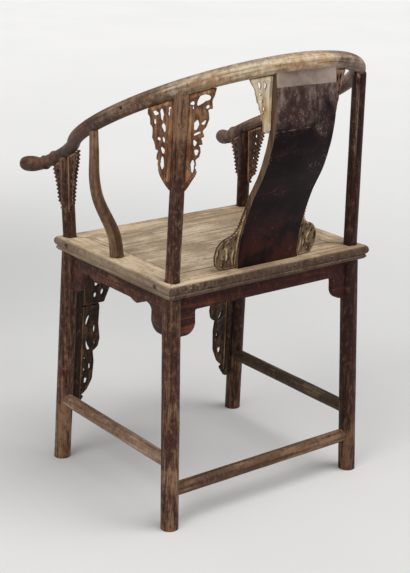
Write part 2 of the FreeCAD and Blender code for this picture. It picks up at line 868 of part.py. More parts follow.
def stretcher_tenon(name, role, offset, span, across, level, extra):
    """The flat tenon that runs through a stretcher and into its two legs."""
    body = new_body(name)
    half_width = f"(stretcher_tenon_width / 2 + {extra})"
    half_height = f"(stretcher_tenon_height / 2 + {extra})"
    outline = new_sketch(body, role, offset)
    add_outline(outline, rectangle(f"{across} - {half_width}", f"{across} + {half_width}",
                                   f"{level} - {half_height}", f"{level} + {half_height}"))
    pad(body, outline, f"{span} + (stretcher_tenon_length + {extra}) * 2")
    return body


def stretcher(name, role, low, high, across, level, legs):
    """An oval bar along Y or X, coped to the legs, and the room that its tenon takes from them."""
    middle = f"(({high}) + ({low})) / 2"
    span = f"({high}) - ({low})"
    offset = f"-({middle})" if role == "XZ_Plane" else middle
    bar = new_body(f"{name}Bar")
    section = new_sketch(bar, role, offset)
    add_outline(section, oval("stretcher_width", "stretcher_height", across, level))
    pad(bar, section, span)
    coped = cut(f"{name}Coped", bar, legs)
    tenon = stretcher_tenon(f"{name}Tenon", role, offset, span, across, level, "0")
    room = stretcher_tenon(f"{name}Room", role, offset, span, across, level, "fit_clearance")
    return fuse(name, [coped, tenon]), room


side_level = "side_stretcher_level"
side_across, side_rear = leg_axis(REAR_LEG, side_level)
side_front = leg_axis(FRONT_LEG, side_level)[1]
side_stretcher, side_room = stretcher("SideStretcher", "XZ_Plane", side_front, side_rear, side_across,
                                      side_level, [rear["leg_room"], front["leg_room"]])
keep_pair(side_stretcher, "stretcher")

rear_level = "rear_stretcher_level"
rear_reach, rear_across = leg_axis(REAR_LEG, rear_level)
rear_stretcher, rear_room = stretcher("RearStretcher", "YZ_Plane", f"-({rear_reach})", rear_reach, rear_across,
                                      rear_level, both_sides([rear["leg_room"]]))
keep(rear_stretcher, "stretcher_rear")

keep_pair(cut("RearLeg", rear["turned"], [side_room, rear_room]), "rear_leg")
keep_pair(cut("FrontLeg", front["turned"], [side_room]), "front_leg")


# Crest rail pieces with the posts' mortises

splat_tenon_half = "splat_tenon_width / 2"
splat_middle = f"({SPLAT_TOP_BACK} - splat_thickness / 2)"


def splat_tenon(name, level_low, level_high, depth, extra):
    """A flat tenon of the splat at its foot or top."""
    outline = rectangle(f"-({splat_tenon_half} + {extra})", f"{splat_tenon_half} + {extra}", level_low, level_high)
    return plate(name, "XZ_Plane", outline, f"splat_tenon_thickness + {extra} * 2", offset=f"-({depth})")


def side_post_stations():
    """Round stations of the side post, which sweeps outwards from the seat to the arm."""
    stations = []
    for level_share, reach_share in zip(SIDE_POST_LEVEL_SHARES, SIDE_POST_REACH_SHARES):
        foot = (*SIDE_POST_FOOT, "seat_height")
        x_text, y_text, level = [f"{low} + (({high}) - {low}) * {share}" for low, high, share in
                                 zip(foot, SIDE_POST_TOP, (reach_share, level_share, level_share))]
        width = f"side_post_foot_diameter + (side_post_top_diameter - side_post_foot_diameter) * {level_share}"
        stations.append((x_text, y_text, level, width))
    return stations


side_blank = rod("SidePostBlank", side_post_stations())
side_coped = cut("SidePostCoped", side_blank, [side_cope])
side_tenon_level = "seat_height - side_post_tenon_length"
side_tenon = rod("SidePostTenon", [
    (*SIDE_POST_FOOT, side_tenon_level, "side_post_tenon_diameter"),
    (*SIDE_POST_FOOT, "seat_height", "side_post_tenon_diameter"),
])
side_head_low = f"{SIDE_POST_TOP[2]} - post_tenon_start"
side_head = ((SIDE_POST_TOP[0], SIDE_POST_TOP[1], side_head_low, "post_tenon_diameter"),
             (SIDE_POST_TOP[0], SIDE_POST_TOP[1], SIDE_POST_TOP[2], "post_tenon_diameter"))
side_head_tenon = rod("SidePostHead", side_head)
keep_pair(fuse("SidePost", [side_coped, side_tenon, side_head_tenon]), "side_post")
side_foot_room = rod("SidePostFootRoom", [
    (*SIDE_POST_FOOT, f"{side_tenon_level} - fit_clearance", "side_post_tenon_diameter + fit_clearance * 2"),
    (*SIDE_POST_FOOT, "seat_height + cut_overrun", "side_post_tenon_diameter + fit_clearance * 2"),
])
side_head_room = rod("SidePostHeadRoom", [
    (*end[:3], "post_tenon_diameter + fit_clearance * 2") for end in side_head
])

splat_rail_room = splat_tenon("SplatRailRoom", f"{RAIL_BACK[2]} - rail_back_diameter",
                              f"{SPLAT_TOP} + splat_top_tenon + fit_clearance", splat_middle, "fit_clearance")
keep(cut("CrestRailBack", rail_back, [splat_rail_room]), "crest_rail_back")
keep_pair(cut("CrestRailShoulder", rail_shoulder, [rear["tenon_room"]]), "crest_rail_shoulder")
keep_pair(cut("CrestRailArm", rail_arm, [side_head_room, front["tenon_room"]]), "crest_rail_arm")


# Splat

def splat_profile(extra_front, extra_back):
    """The S-shaped side of the splat or of a slab inside its thickness."""
    spots = [
        ("seat_setback + splat_foot_depth", "seat_height"),
        ("seat_setback + splat_low_depth", "seat_height + splat_low_height"),
        ("seat_setback + splat_turn_depth", "seat_height + splat_turn_height"),
        (f"{SPLAT_TOP_BACK} + splat_high_bulge", "seat_height + splat_high_height"),
        (SPLAT_TOP_BACK, SPLAT_TOP),
    ]
    back = [(f"{y} - {extra_back}", z) for y, z in spots]
    front = [(f"{y} - splat_thickness + {extra_front}", z) for y, z in spots]
    return [
        (*back[0], *back[1]),
        (*back[2], *back[3]),
        back[4],
        (*front[4], *front[3]),
        (*front[2], *front[1]),
        front[0],
    ]


splat_slab = plate("SplatSlab", "YZ_Plane", splat_profile("0", "0"), "splat_foot_width")
splat_face = plate("SplatFace", "XZ_Plane", [
    ("-splat_foot_width / 2", "seat_height"),
    ("splat_foot_width / 2", "seat_height"),
    ("splat_top_width / 2", SPLAT_TOP),
    ("-splat_top_width / 2", SPLAT_TOP),
], "seat_depth", offset="-(seat_setback + splat_turn_depth)")
splat_sawn = common("SplatSawn", splat_slab, splat_face)
splat_coped = cut("SplatCoped", splat_sawn, [back_envelope])
foot_middle = "(seat_setback + splat_foot_depth - splat_thickness / 2)"
splat_foot = splat_tenon("SplatFootTenon", "seat_height - splat_foot_tenon", "seat_height + cut_overrun",
                         foot_middle, "0")
splat_head = splat_tenon("SplatTopTenon", f"{SPLAT_TOP} - splat_top_tenon * 2",
                         f"{SPLAT_TOP} + splat_top_tenon", splat_middle, "0")
splat = keep(fuse("Splat", [splat_coped, splat_foot, splat_head]), "splat")
splat_foot_room = splat_tenon("SplatFootRoom", "seat_height - splat_foot_tenon - fit_clearance",
                              "seat_height + cut_overrun", foot_middle, "fit_clearance")


# Seat frame


def frame_section(edge):
    """Section of a frame member. Its moulded edge lies at the given reach from the centre."""
    top = "seat_height"
    round_foot = "seat_height - edge_round_height"
    groove_foot = f"{round_foot} - edge_groove_height"
    bead_foot = f"{groove_foot} - edge_bead_drop + edge_groove_height"
    lip = "seat_height - panel_lip"
    groove = f"{lip} - panel_tongue_thickness - fit_clearance * 2"
    inner = f"{edge} - frame_rail_width"
    slot = f"{inner} + panel_tongue_length + seat_clearance"
    return [
        (inner, top),
        (f"{edge} - edge_round_reach", top, edge, f"{top} - edge_round_height / 2"),
        (f"{edge} - edge_bead_setback", round_foot),
        (f"{edge} - edge_groove_depth", round_foot),
        (f"{edge} - edge_groove_depth", groove_foot,
         f"{edge} - edge_bead_setback", f"({groove_foot} + {bead_foot}) / 2"),
        (f"{edge} - edge_groove_depth", bead_foot),
        (f"{edge} - edge_foot_setback", "seat_height - seat_thickness"),
        (inner, "seat_height - seat_thickness"),
        (inner, groove),
        (slot, groove),
        (slot, lip),
        (inner, lip),
    ]


def mitre(x_sign, y_sign, long_side):
    """The triangle beyond a mitre: the long members lose what lies outside it, the short ones inside."""
    outer = ("cut_overrun", "cut_overrun")
    inner = ("-frame_rail_width - cut_overrun", "-frame_rail_width - cut_overrun")
    third = (outer[0], inner[1]) if long_side else (inner[0], outer[1])
    return [(f"{x_sign} * ({HALF_WIDTH} + ({x}))", f"seat_setback + {y_sign} * ({HALF_DEPTH} + ({y}))")
            for x, y in (outer, inner, third)]


TENON_LEVEL = "seat_height - panel_lip - panel_tongue_thickness / 2"
TENON_NEAR = f"({HALF_DEPTH} - frame_rail_width + panel_tongue_length + frame_tenon_inset)"


def frame_tenon_outline(x_sign, y_sign, extra="0", overrun="0"):
    """The through tenon of a long member, from inside its mitre to the frame's side."""
    near = f"seat_setback + {y_sign} * ({TENON_NEAR} - {extra})"
    far = f"seat_setback + {y_sign} * ({TENON_NEAR} + frame_tenon_width + {extra})"
    root = f"{x_sign} * ({HALF_WIDTH} - frame_rail_width - frame_tenon_width)"
    tip = f"{x_sign} * ({HALF_WIDTH} - edge_groove_depth + {overrun})"
    return rectangle(root, tip, near, far)


def long_member(name, y_sign):
    """A front or rear member with its grain across the chair."""
    body = new_body(name)
    section = new_sketch(body, "YZ_Plane")
    outline = [tuple(text if index % 2 else f"seat_setback + {y_sign} * ({text})"
                     for index, text in enumerate(corner))
               for corner in frame_section(HALF_DEPTH)]
    add_outline(section, outline)
    pad(body, section, "seat_width")
    ends = new_sketch(body, "XY_Plane", "seat_height")
    for x_sign in (1, -1):
        add_outline(ends, mitre(x_sign, y_sign, True))
    cut_through(body, ends, "seat_thickness * 2 + cut_overrun")
    tenons = new_sketch(body, "XY_Plane", TENON_LEVEL)
    for x_sign in (1, -1):
        add_outline(tenons, frame_tenon_outline(x_sign, y_sign))
    pad(body, tenons, "frame_tenon_thickness")
    return body


def short_member():
    """The left member, mortised for the tenons of the front and rear ones."""
    body = new_body("SeatSide")
    section = new_sketch(body, "XZ_Plane", "-seat_setback")
    add_outline(section, frame_section(HALF_WIDTH))
    pad(body, section, "seat_depth")
    ends = new_sketch(body, "XY_Plane", "seat_height")
    mortises = new_sketch(body, "XY_Plane", TENON_LEVEL)
    for y_sign in (1, -1):
        add_outline(ends, mitre(1, y_sign, False))
        add_outline(mortises, frame_tenon_outline(1, y_sign, "fit_clearance", "cut_overrun"))
    cut_through(body, ends, "seat_thickness * 2 + cut_overrun")
    cut_through(body, mortises, "frame_tenon_thickness + fit_clearance * 2")
    return body


post_rooms = [rear["post_room"], front["post_room"]]


def seat_panel():
    """The floating panel, flush with the frame, with a tongue all round."""
    body = new_body("SeatPanel")
    tongue_x = f"({HALF_WIDTH} - frame_rail_width + panel_tongue_length)"
    tongue_y = f"({HALF_DEPTH} - frame_rail_width + panel_tongue_length)"
    face_x = f"({HALF_WIDTH} - frame_rail_width - seat_clearance)"
    face_y = f"({HALF_DEPTH} - frame_rail_width - seat_clearance)"
    field = "(panel_lip + panel_tongue_thickness)"
    for x, y, middle, thickness in (
        (face_x, face_y, f"seat_height - {field} / 2", field),
        (tongue_x, tongue_y, "seat_height - panel_lip - fit_clearance - panel_tongue_thickness / 2",
         "panel_tongue_thickness"),
    ):
        layer = new_sketch(body, "XY_Plane", middle)
        add_outline(layer, rectangle(f"-{x}", x, f"seat_setback - {y}", f"seat_setback + {y}"))
        pad(body, layer, thickness)
    return body


BATTEN_TOP = "seat_height - panel_lip - panel_tongue_thickness - fit_clearance"


def batten(name, extra):
    """A bar under the panel with a tenon into the front and rear members, on the left."""
    body = new_body(name)
    middle = f"{BATTEN_TOP} - batten_height / 2"
    half = f"(batten_width / 2 + {extra})"
    reach = f"({HALF_DEPTH} - frame_rail_width)"
    runs = [(half, f"({reach} - fit_clearance)", "batten_height")] if extra == "0" else []
    runs.append((f"(batten_width / 4 + {extra})", f"({reach} + batten_tenon_length + {extra})",
                 f"batten_height / 2 + {extra} * 2"))
    for x, y, thickness in runs:
        layer = new_sketch(body, "XY_Plane", middle)
        add_outline(layer, rectangle(f"batten_spacing / 2 - {x}", f"batten_spacing / 2 + {x}",
                                     f"seat_setback - {y}", f"seat_setback + {y}"))
        pad(body, layer, thickness)
    return body


keep_pair(batten("SeatBatten", "0"), "seat_batten")
batten_rooms = both_sides([batten("SeatBattenRoom", "fit_clearance")])
all_post_rooms = both_sides(post_rooms)
keep(cut("SeatFront", long_member("SeatFrontBlank", -1), all_post_rooms + batten_rooms), "seat_frame_front")
rear_seat_tools = all_post_rooms + batten_rooms + [splat_foot_room]
keep(cut("SeatRear", long_member("SeatRearBlank", 1), rear_seat_tools), "seat_frame_rear")
keep_pair(cut("SeatSideCut", short_member(), post_rooms + [side_foot_room]), "seat_frame_side")
keep(seat_panel(), "seat_panel")


# Carved brackets under the crest rail

def carved_bracket(name, width, height, head_low, head_high, edge_shares, hole_shares):
    """A pierced bracket beside X = 0, with scallops down its outer edge."""
    foot = f"({head_low} - {height})"
    corners = [("0", foot), ("0", head_low), (width, head_high)]
    edge = [(f"{width} * {across}", f"{head_high} - (({head_high}) - ({foot})) * {down}")
            for across, down in edge_shares]
    for index, (x, z) in enumerate(edge[:-1]):
        next_x, next_z = edge[index + 1]
        corners.append((x, z, f"(({x}) + ({next_x})) / 2 + bracket_scallop", f"(({z}) + ({next_z})) / 2"))
    corners.append(edge[-1])
    holes = [leaf(f"{width} * {across}", f"{head_low} - {height} * {down}",
                  f"{width} * {half_across}", f"{height} * {half_down}")
             for across, down, half_across, half_down in hole_shares]
    return plate(name, "XZ_Plane", corners, "bracket_thickness", holes)


def place_bracket(body, spot, heading):
    place(body, (*spot, "0"), Vector(0, 0, 1), heading)


HALF_BRACKET_TURN = "(asin(rear_bracket_width / rail_radius / 2) / 1 deg)"
rear_bracket_spot = post_axis(REAR_LEG, REAR_POST_TOP, f"{REAR_POST_TOP[2]} - rear_bracket_height / 2")
rear_heading = "atan(sin({0}) * cos(rail_tilt) / cos({0}))"
arm_turn = f"(rear_post_turn + {HALF_BRACKET_TURN})"
back_turn = f"(rear_post_turn - {HALF_BRACKET_TURN})"

rear_arm_blank = carved_bracket(
    "RearArmBracketBlank", "rear_bracket_width", "rear_bracket_height",
    REAR_POST_TOP[2], rail_point(f"(rear_post_turn + 2 * {HALF_BRACKET_TURN})")[2],
    BRACKET_EDGE_SHARES, BRACKET_HOLE_SHARES)
place_bracket(rear_arm_blank, rear_bracket_spot, f"-{rear_heading.format(arm_turn)}")
rear_arm_bracket = cut("RearArmBracket", rear_arm_blank, [rear_envelope, rear["post_room"]])
keep_pair(rear_arm_bracket, "rear_bracket_arm_side")

rear_back_blank = carved_bracket(
    "RearBackBracketBlank", "rear_bracket_width", "rear_bracket_height",
    REAR_POST_TOP[2], rail_point(f"(rear_post_turn - 2 * {HALF_BRACKET_TURN})")[2],
    BRACKET_EDGE_SHARES, BRACKET_HOLE_SHARES)
place_bracket(rear_back_blank, rear_bracket_spot, f"180 deg - {rear_heading.format(back_turn)}")
rear_back_bracket = cut("RearBackBracket", rear_back_blank, [rear_envelope, rear["post_room"]])
keep_pair(rear_back_bracket, "rear_bracket_back_side")

front_bracket_spot = post_axis(FRONT_LEG, FRONT_POST_TOP, f"{FRONT_POST_TOP[2]} - front_bracket_height / 2")


def front_bracket(name, width, heading, far_turn):
    """A bracket beside a front post, under the arm or under the hand grip."""
    blank = carved_bracket(f"{name}Blank", width, "front_bracket_height", FRONT_POST_TOP[2],
                           rail_end_point(far_turn)[2], BRACKET_EDGE_SHARES, FRONT_BRACKET_HOLE_SHARES)
    place_bracket(blank, front_bracket_spot, heading)
    return cut(name, blank, [front_envelope, front["post_room"]])


ARM_FAR_TURN = "(front_post_turn - asin(arm_bracket_width / rail_end_radius) / 1 deg)"
GRIP_FAR_TURN = "(front_post_turn + asin(front_bracket_width / rail_end_radius) / 1 deg)"
keep_pair(front_bracket("FrontArmBracket", "arm_bracket_width", "arm_bracket_heading", ARM_FAR_TURN),
          "front_bracket_arm_side")
keep_pair(front_bracket("FrontGripBracket", "front_bracket_width", "-grip_bracket_heading", GRIP_FAR_TURN),
          "front_bracket_grip_side")


# Carved pieces beside the splat

wing_blank = carved_bracket("SplatWingBlank", "wing_width", "wing_height", SPLAT_TOP, f"{SPLAT_TOP} - cut_overrun",
                            WING_EDGE_SHARES, WING_HOLE_SHARES)
wing_spot = ("splat_top_width / 2 - fit_clearance", f"{RAIL_BACK[1]} - wing_advance")
place_bracket(wing_blank, wing_spot, "-wing_yaw")
keep_pair(cut("SplatWing", wing_blank, [back_envelope, splat]), "splat_wing")


def foot_bracket():
    """A rounded carved foot beside the splat, with a thin tail that climbs its edge."""
    side = "splat_foot_width / 2"
    inner = f"{side} - splat_thickness / 2"
    top = "seat_height + foot_bracket_height"
    tail_top = "seat_height + foot_bracket_tail"
    corners = [(inner, "seat_height")]
    for shares in FOOT_BRACKET_EDGE_SHARES:
        corners.append(tuple(
            f"seat_height + foot_bracket_height * {share}" if index % 2 else f"{side} + foot_bracket_width * {share}"
            for index, share in enumerate(shares)))
    corners += [
        (f"{side} + foot_bracket_tail_width", f"seat_height + foot_bracket_height * {FOOT_BRACKET_TAIL_SHARE}"),
        (f"{side} + foot_bracket_tail_width / 2", tail_top),
        (inner, tail_top),
    ]
    holes = [leaf(f"{side} + foot_bracket_width * {across}", f"{top} - foot_bracket_height * {down}",
                  f"foot_bracket_width * {half_across}", f"foot_bracket_height * {half_down}")
             for across, down, half_across, half_down in FOOT_HOLE_SHARES]
    face = plate("SplatFootFace", "XZ_Plane", corners, "seat_depth", holes, offset="-(seat_setback + splat_turn_depth)")
    slab_body = new_body("SplatFootSlab")
    slab = new_sketch(slab_body, "YZ_Plane")
    add_outline(slab, splat_profile("foot_bracket_setback", "foot_bracket_setback"))
    pad(slab_body, slab, "seat_width")
    return cut("SplatFootBracket", common("SplatFootSawn", slab_body, face), [splat])


keep_pair(foot_bracket(), "splat_foot_bracket")


# Aprons under the seat. Their plane leans with the legs, and depths are measured down it.

APRON_TOP = "-(seat_thickness + seat_clearance)"


def leaning_leg(reach, splay, drop):
    """Distance of a leg's centre from the middle, at a drop below the seat's top."""
    return f"({reach} + {splay} * ({drop}) / seat_height)"


APRON_BAND = "(seat_thickness + apron_band)"
APRON_NOTCH = f"({APRON_BAND} - apron_notch_rise)"
APRON_FOOT = "(seat_thickness + apron_foot_drop)"


def apron_half(sign, reach, splay, foot_width, notch, knee_shares):
    """Half of an apron's outline, from its top in the leg's line round the foot to the band."""
    def along(drop, inward):
        return f"{sign} * ({leaning_leg(reach, splay, drop)} - ({inward}))"

    corner = f"apron_foot_round * {APRON_CORNER_SHARE}"
    knee = [(along(APRON_BAND, f"{foot_width} + apron_foot_round * {inward_share}"),
             f"-({notch} + apron_foot_round * {down_share})") for inward_share, down_share in knee_shares]
    return [
        (along("seat_thickness", "0"), APRON_TOP),
        (along(APRON_FOOT, "0"), f"-{APRON_FOOT}"),
        (along(APRON_FOOT, f"{foot_width} - apron_foot_round"), f"-{APRON_FOOT}",
         along(APRON_FOOT, f"{foot_width} - {corner}"), f"-({APRON_FOOT} - {corner})"),
        (along(APRON_BAND, foot_width), f"-({APRON_FOOT} - apron_foot_round)"),
        (*knee[0], *knee[1]),
        knee[2],
    ]


def side_apron_half(sign, reach):
    """Half of a side apron, with the cusp where the ogee edge begins."""
    half = apron_half(sign, reach, "leg_splay_depth", "side_apron_foot_width", APRON_NOTCH, SIDE_APRON_KNEE_SHARES)
    leg = leaning_leg(reach, "leg_splay_depth", APRON_BAND)
    cusp = [(f"{sign} * ({leg} - (apron_cusp_offset + apron_cusp_width * {inward_share}))",
             f"-({APRON_BAND} + apron_cusp_drop * {down_share})")
            for inward_share, down_share in SIDE_APRON_CUSP_SHARES]
    return half + [(*cusp[0], *cusp[1]), cusp[2]]


def reversed_outline(spots):
    """The same run of an outline, walked the other way."""
    turned = []
    for index in range(len(spots) - 1, -1, -1):
        arc = spots[index - 1][2:] if index > 0 else ()
        turned.append((*spots[index][:2], *arc))
    return turned


side_apron_outline = side_apron_half(-1, "front_leg_depth") + reversed_outline(side_apron_half(1, "rear_leg_depth"))
side_apron_blank = plate("SideApronBlank", "YZ_Plane", side_apron_outline, "apron_thickness")
place(side_apron_blank, ("leg_seat_reach", "seat_setback", "seat_height"), Vector(0, 1, 0), f"-{LEAN_SIDE}")
side_apron_piece = cut("SideApron", side_apron_blank, [rear["leg_room"], front["leg_room"]])
keep_pair(side_apron_piece, "apron")


def rear_apron_half(sign):
    return apron_half(sign, "leg_seat_reach", "leg_splay_side", "rear_apron_foot_width", APRON_BAND,
                      REAR_APRON_KNEE_SHARES)


rear_apron_outline = rear_apron_half(-1) + reversed_outline(rear_apron_half(1))
rear_apron_blank = plate("RearApronBlank", "XZ_Plane", rear_apron_outline, "apron_thickness")
place(rear_apron_blank, ("0", "seat_setback + rear_leg_depth", "seat_height"), Vector(1, 0, 0), LEAN_DEPTH)
keep(cut("RearApron", rear_apron_blank, both_sides([rear["leg_room"]])), "apron_rear")


# Carved frame inside the front legs, in a plane that leans with them

def front_leg_x(drop):
    return leaning_leg("leg_seat_reach", "leg_splay_side", drop)


def place_front(body):
    place(body, ("0", "seat_setback - front_leg_depth", "seat_height"), Vector(1, 0, 0), f"-{LEAN_DEPTH}")


def batten_edge(drop, share):
    """Edge of the upright batten: share 0 lies in the leg and share 1 is its inner face."""
    inner = "(leg_diameter / 2 + front_batten_width)"
    return f"({front_leg_x(drop)} - {inner} * {share})"


front_batten_blank = plate("FrontBattenBlank", "XZ_Plane", [
    (batten_edge("seat_thickness", "0"), APRON_TOP),
    (batten_edge("front_batten_foot", "0"), "-front_batten_foot"),
    (batten_edge("front_batten_foot", "1"), "-front_batten_foot"),
    (batten_edge("seat_thickness", "1"), APRON_TOP),
], "front_panel_thickness")
place_front(front_batten_blank)
keep_pair(cut("FrontBatten", front_batten_blank, [front["leg_room"]]), "front_batten")


def panel_edge(drop, inward):
    """A line parallel to the batten's inner face, a hair's clearance and a distance inside it."""
    return f"({batten_edge(drop, '1')} - seat_clearance - ({inward}))"


def side_panel():
    """The long carved panel below the top panel, on the left."""
    top = "(top_panel_drop + seat_clearance)"
    height = f"(side_panel_foot - {top})"
    corners = [(panel_edge(top, "0"), f"-{top}")]
    spots = [(panel_edge(f"{top} + {height} * {down}", f"side_panel_width * {across}"),
              f"-({top} + {height} * {down})") for across, down in SIDE_PANEL_EDGE_SHARES]
    corners += spots
    corners.append((panel_edge("side_panel_foot", "0"), "-side_panel_foot"))
    holes = [leaf(panel_edge(f"{top} + {height} * {down}", f"side_panel_width * {across}"),
                  f"-({top} + {height} * {down})", f"side_panel_width * {half_across}",
                  f"{height} * {half_down}")
             for across, down, half_across, half_down in SIDE_PANEL_HOLE_SHARES]
    return plate("FrontSidePanel", "XZ_Plane", corners, "front_panel_thickness", holes)


def top_panel():
    """The pierced panel under the front seat rail: a broad arch that ends on the side panels."""
    top = "seat_thickness"
    arch = f"({top} + top_panel_band)"
    half_span = panel_edge(top, "0")
    edge = [(f"-{panel_edge('top_panel_drop', f'top_panel_leg_width + top_panel_arch_width * {inward_share}')}",
             f"-({arch} + (top_panel_drop - {arch}) * {down_share})")
            for inward_share, down_share in TOP_PANEL_ARCH_SHARES]
    half = [
        (f"-{half_span}", APRON_TOP),
        (f"-{panel_edge('top_panel_drop', '0')}", "-top_panel_drop"),
        (*edge[0], *edge[1]),
        (*edge[2], *edge[3]),
        edge[4],
    ]
    other = [tuple(f"-({text})" if index % 2 == 0 else text for index, text in enumerate(spot))
             for spot in half]
    holes = [leaf(f"{sign} * {half_span} * {across}", f"-({top} + (top_panel_drop - {top}) * {down})",
                  f"{half_span} * {half_across}", f"(top_panel_drop - {top}) * {half_down}")
             for across, down, half_across, half_down in TOP_PANEL_HOLE_SHARES for sign in (1, -1)]
    return plate("FrontTopPanel", "XZ_Plane", half + reversed_outline(other), "front_panel_thickness", holes)


side_panel_piece = side_panel()
place_front(side_panel_piece)
keep_pair(side_panel_piece, "front_side_panel")
top_panel_piece = top_panel()
place_front(top_panel_piece)
keep(top_panel_piece, "front_top_panel")


# Checks and hand-over

doc.recompute()
for item in doc.Objects:
    faults = {"Invalid", "Error"} & set(item.State)
    if faults:
        raise RuntimeError(f"{item.Name} ({item.Label}) is {sorted(faults)}")
os.makedirs("parts", exist_ok=True)
for piece in pieces:
    shape = piece.Shape
    if shape.isNull() or not shape.isValid():
        raise RuntimeError(f"{piece.Label} has no sound shape")
    shape.exportStep(os.path.join("parts", f"{piece.Label}.step"))
    box = shape.BoundBox
    print(f"{piece.Label}: {len(shape.Solids)} solid, {shape.Volume / 1000:.1f} cm3,"
          f" x {box.XMin:.1f}..{box.XMax:.1f} y {box.YMin:.1f}..{box.YMax:.1f} z {box.ZMin:.1f}..{box.ZMax:.1f}")
print(len(pieces), "pieces")
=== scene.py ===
import bmesh
import bpy
import json
import math
from mathutils import Matrix, Vector, noise
from mathutils.geometry import tessellate_polygon

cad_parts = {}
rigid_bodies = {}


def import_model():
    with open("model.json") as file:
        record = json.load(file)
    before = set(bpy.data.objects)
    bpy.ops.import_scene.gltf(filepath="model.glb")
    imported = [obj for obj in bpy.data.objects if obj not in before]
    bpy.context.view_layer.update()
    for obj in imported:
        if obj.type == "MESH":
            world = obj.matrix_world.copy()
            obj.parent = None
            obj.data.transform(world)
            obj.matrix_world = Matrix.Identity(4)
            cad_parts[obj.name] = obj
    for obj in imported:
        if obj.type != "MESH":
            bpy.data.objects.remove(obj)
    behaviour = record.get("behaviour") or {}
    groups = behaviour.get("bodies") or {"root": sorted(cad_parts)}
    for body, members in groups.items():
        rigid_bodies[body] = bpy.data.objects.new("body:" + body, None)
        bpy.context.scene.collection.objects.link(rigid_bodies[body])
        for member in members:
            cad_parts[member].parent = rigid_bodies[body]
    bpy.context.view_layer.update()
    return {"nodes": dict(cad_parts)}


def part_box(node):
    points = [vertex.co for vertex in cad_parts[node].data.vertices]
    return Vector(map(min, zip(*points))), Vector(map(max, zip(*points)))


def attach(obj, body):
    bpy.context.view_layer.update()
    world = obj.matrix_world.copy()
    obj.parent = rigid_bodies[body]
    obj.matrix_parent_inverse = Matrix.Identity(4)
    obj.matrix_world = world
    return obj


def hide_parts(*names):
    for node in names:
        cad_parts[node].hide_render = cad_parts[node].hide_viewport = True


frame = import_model()
nodes = frame["nodes"]
print("frame loaded,", len(nodes), "nodes")

# Studio: the photograph's camera, a pale floor and soft light

studio = {
    "cameraPlace": (1.6967, 2.1647, 1.3313),
    "cameraForward": (-0.5848, -0.7460, -0.3187),
    "cameraUp": (-0.1742, -0.2682, 0.9475),
    "lens": 85.09,
    "floorReach": 40.0,
    "floorTone": (226, 226, 225),
    # the far tone is painted light toward the distance and the shade tone a painted shadow band
    "farLitTone": (241, 241, 241),
    "shadeTone": (160, 160, 162),
    "cloudTone": (170, 170, 172),
    "gritTone": (150, 148, 146),
    "skyTone": (240, 240, 240),
    "skyStrength": 0.46,
    # name: direction to the lamp, strength, width of the light in degrees, colour
    "lamps": {
        "softTop": ((-0.25, 0.35, 1.0), 1.25, 42, (1.0, 0.99, 0.97)),
        "softLeft": ((1.0, 0.25, 0.95), 0.95, 34, (1.0, 0.99, 0.98)),
        "softRight": ((-0.9, 0.8, 0.8), 0.50, 34, (0.99, 0.99, 1.0)),
    },
}


def linear(red, green, blue):  # a colour as a picture stores it, 0 to 255, as scene light
    return tuple((c / 12.92 if c <= 0.04045 else ((c + 0.055) / 1.055) ** 2.4)
                 for c in (red / 255, green / 255, blue / 255))


def link(item):
    bpy.context.scene.collection.objects.link(item)
    return item


def addCamera():
    forward = Vector(studio["cameraForward"]).normalized()
    right = forward.cross(Vector(studio["cameraUp"])).normalized()
    up = right.cross(forward)
    camera = link(bpy.data.objects.new("photoCamera", bpy.data.cameras.new("photoCamera")))
    camera.matrix_world = Matrix((
        (right.x, up.x, -forward.x, studio["cameraPlace"][0]),
        (right.y, up.y, -forward.y, studio["cameraPlace"][1]),
        (right.z, up.z, -forward.z, studio["cameraPlace"][2]),
        (0, 0, 0, 1),
    ))
    camera.data.lens = studio["lens"]
    camera.data.clip_end = 200
    bpy.context.scene.camera = camera


def addLamps():
    for name, (direction, strength, width, colour) in studio["lamps"].items():
        lamp = bpy.data.lights.new(name, "SUN")
        lamp.energy = strength
        lamp.angle = math.radians(width)
        lamp.color = colour
        holder = link(bpy.data.objects.new(name, lamp))
        holder.location = Vector(direction) * 3
        holder.rotation_euler = (-Vector(direction)).to_track_quat("-Z", "Y").to_euler()


def addSky():
    world = bpy.data.worlds.new("studioSky")
    world.use_nodes = True
    background = world.node_tree.nodes["Background"]
    background.inputs["Color"].default_value = (*linear(*studio["skyTone"]), 1)
    background.inputs["Strength"].default_value = studio["skyStrength"]
    bpy.context.scene.world = world


addCamera()
addLamps()
addSky()
bpy.context.scene.view_settings.view_transform = "Standard"
print("studio ready")


# Shader arithmetic: a socket that takes part in expressions

class Signal:
    def __init__(self, paint, socket):
        self.paint = paint
        self.socket = socket

    def mathNode(self, operation, first, second=0.0, clamp=False):
        return self.paint.node("ShaderNodeMath", {"operation": operation, "use_clamp": clamp}, {0: first, 1: second})

    def __add__(self, other):
        return self.mathNode("ADD", self, other)

    def __radd__(self, other):
        return self.mathNode("ADD", other, self)

    def __sub__(self, other):
        return self.mathNode("SUBTRACT", self, other)

    def __rsub__(self, other):
        return self.mathNode("SUBTRACT", other, self)

    def __mul__(self, other):
        return self.mathNode("MULTIPLY", self, other)

    def __rmul__(self, other):
        return self.mathNode("MULTIPLY", other, self)

    def clamped(self):
        return self.mathNode("ADD", self, clamp=True)

    def magnitude(self):
        return self.mathNode("ABSOLUTE", self)

    def rise(self, low, high):  # 0 below low, 1 above high, smooth between
        settings = {"interpolation_type": "SMOOTHSTEP"}
        return self.paint.node("ShaderNodeMapRange", settings, {0: self, 1: low, 2: high, 3: 0.0, 4: 1.0})


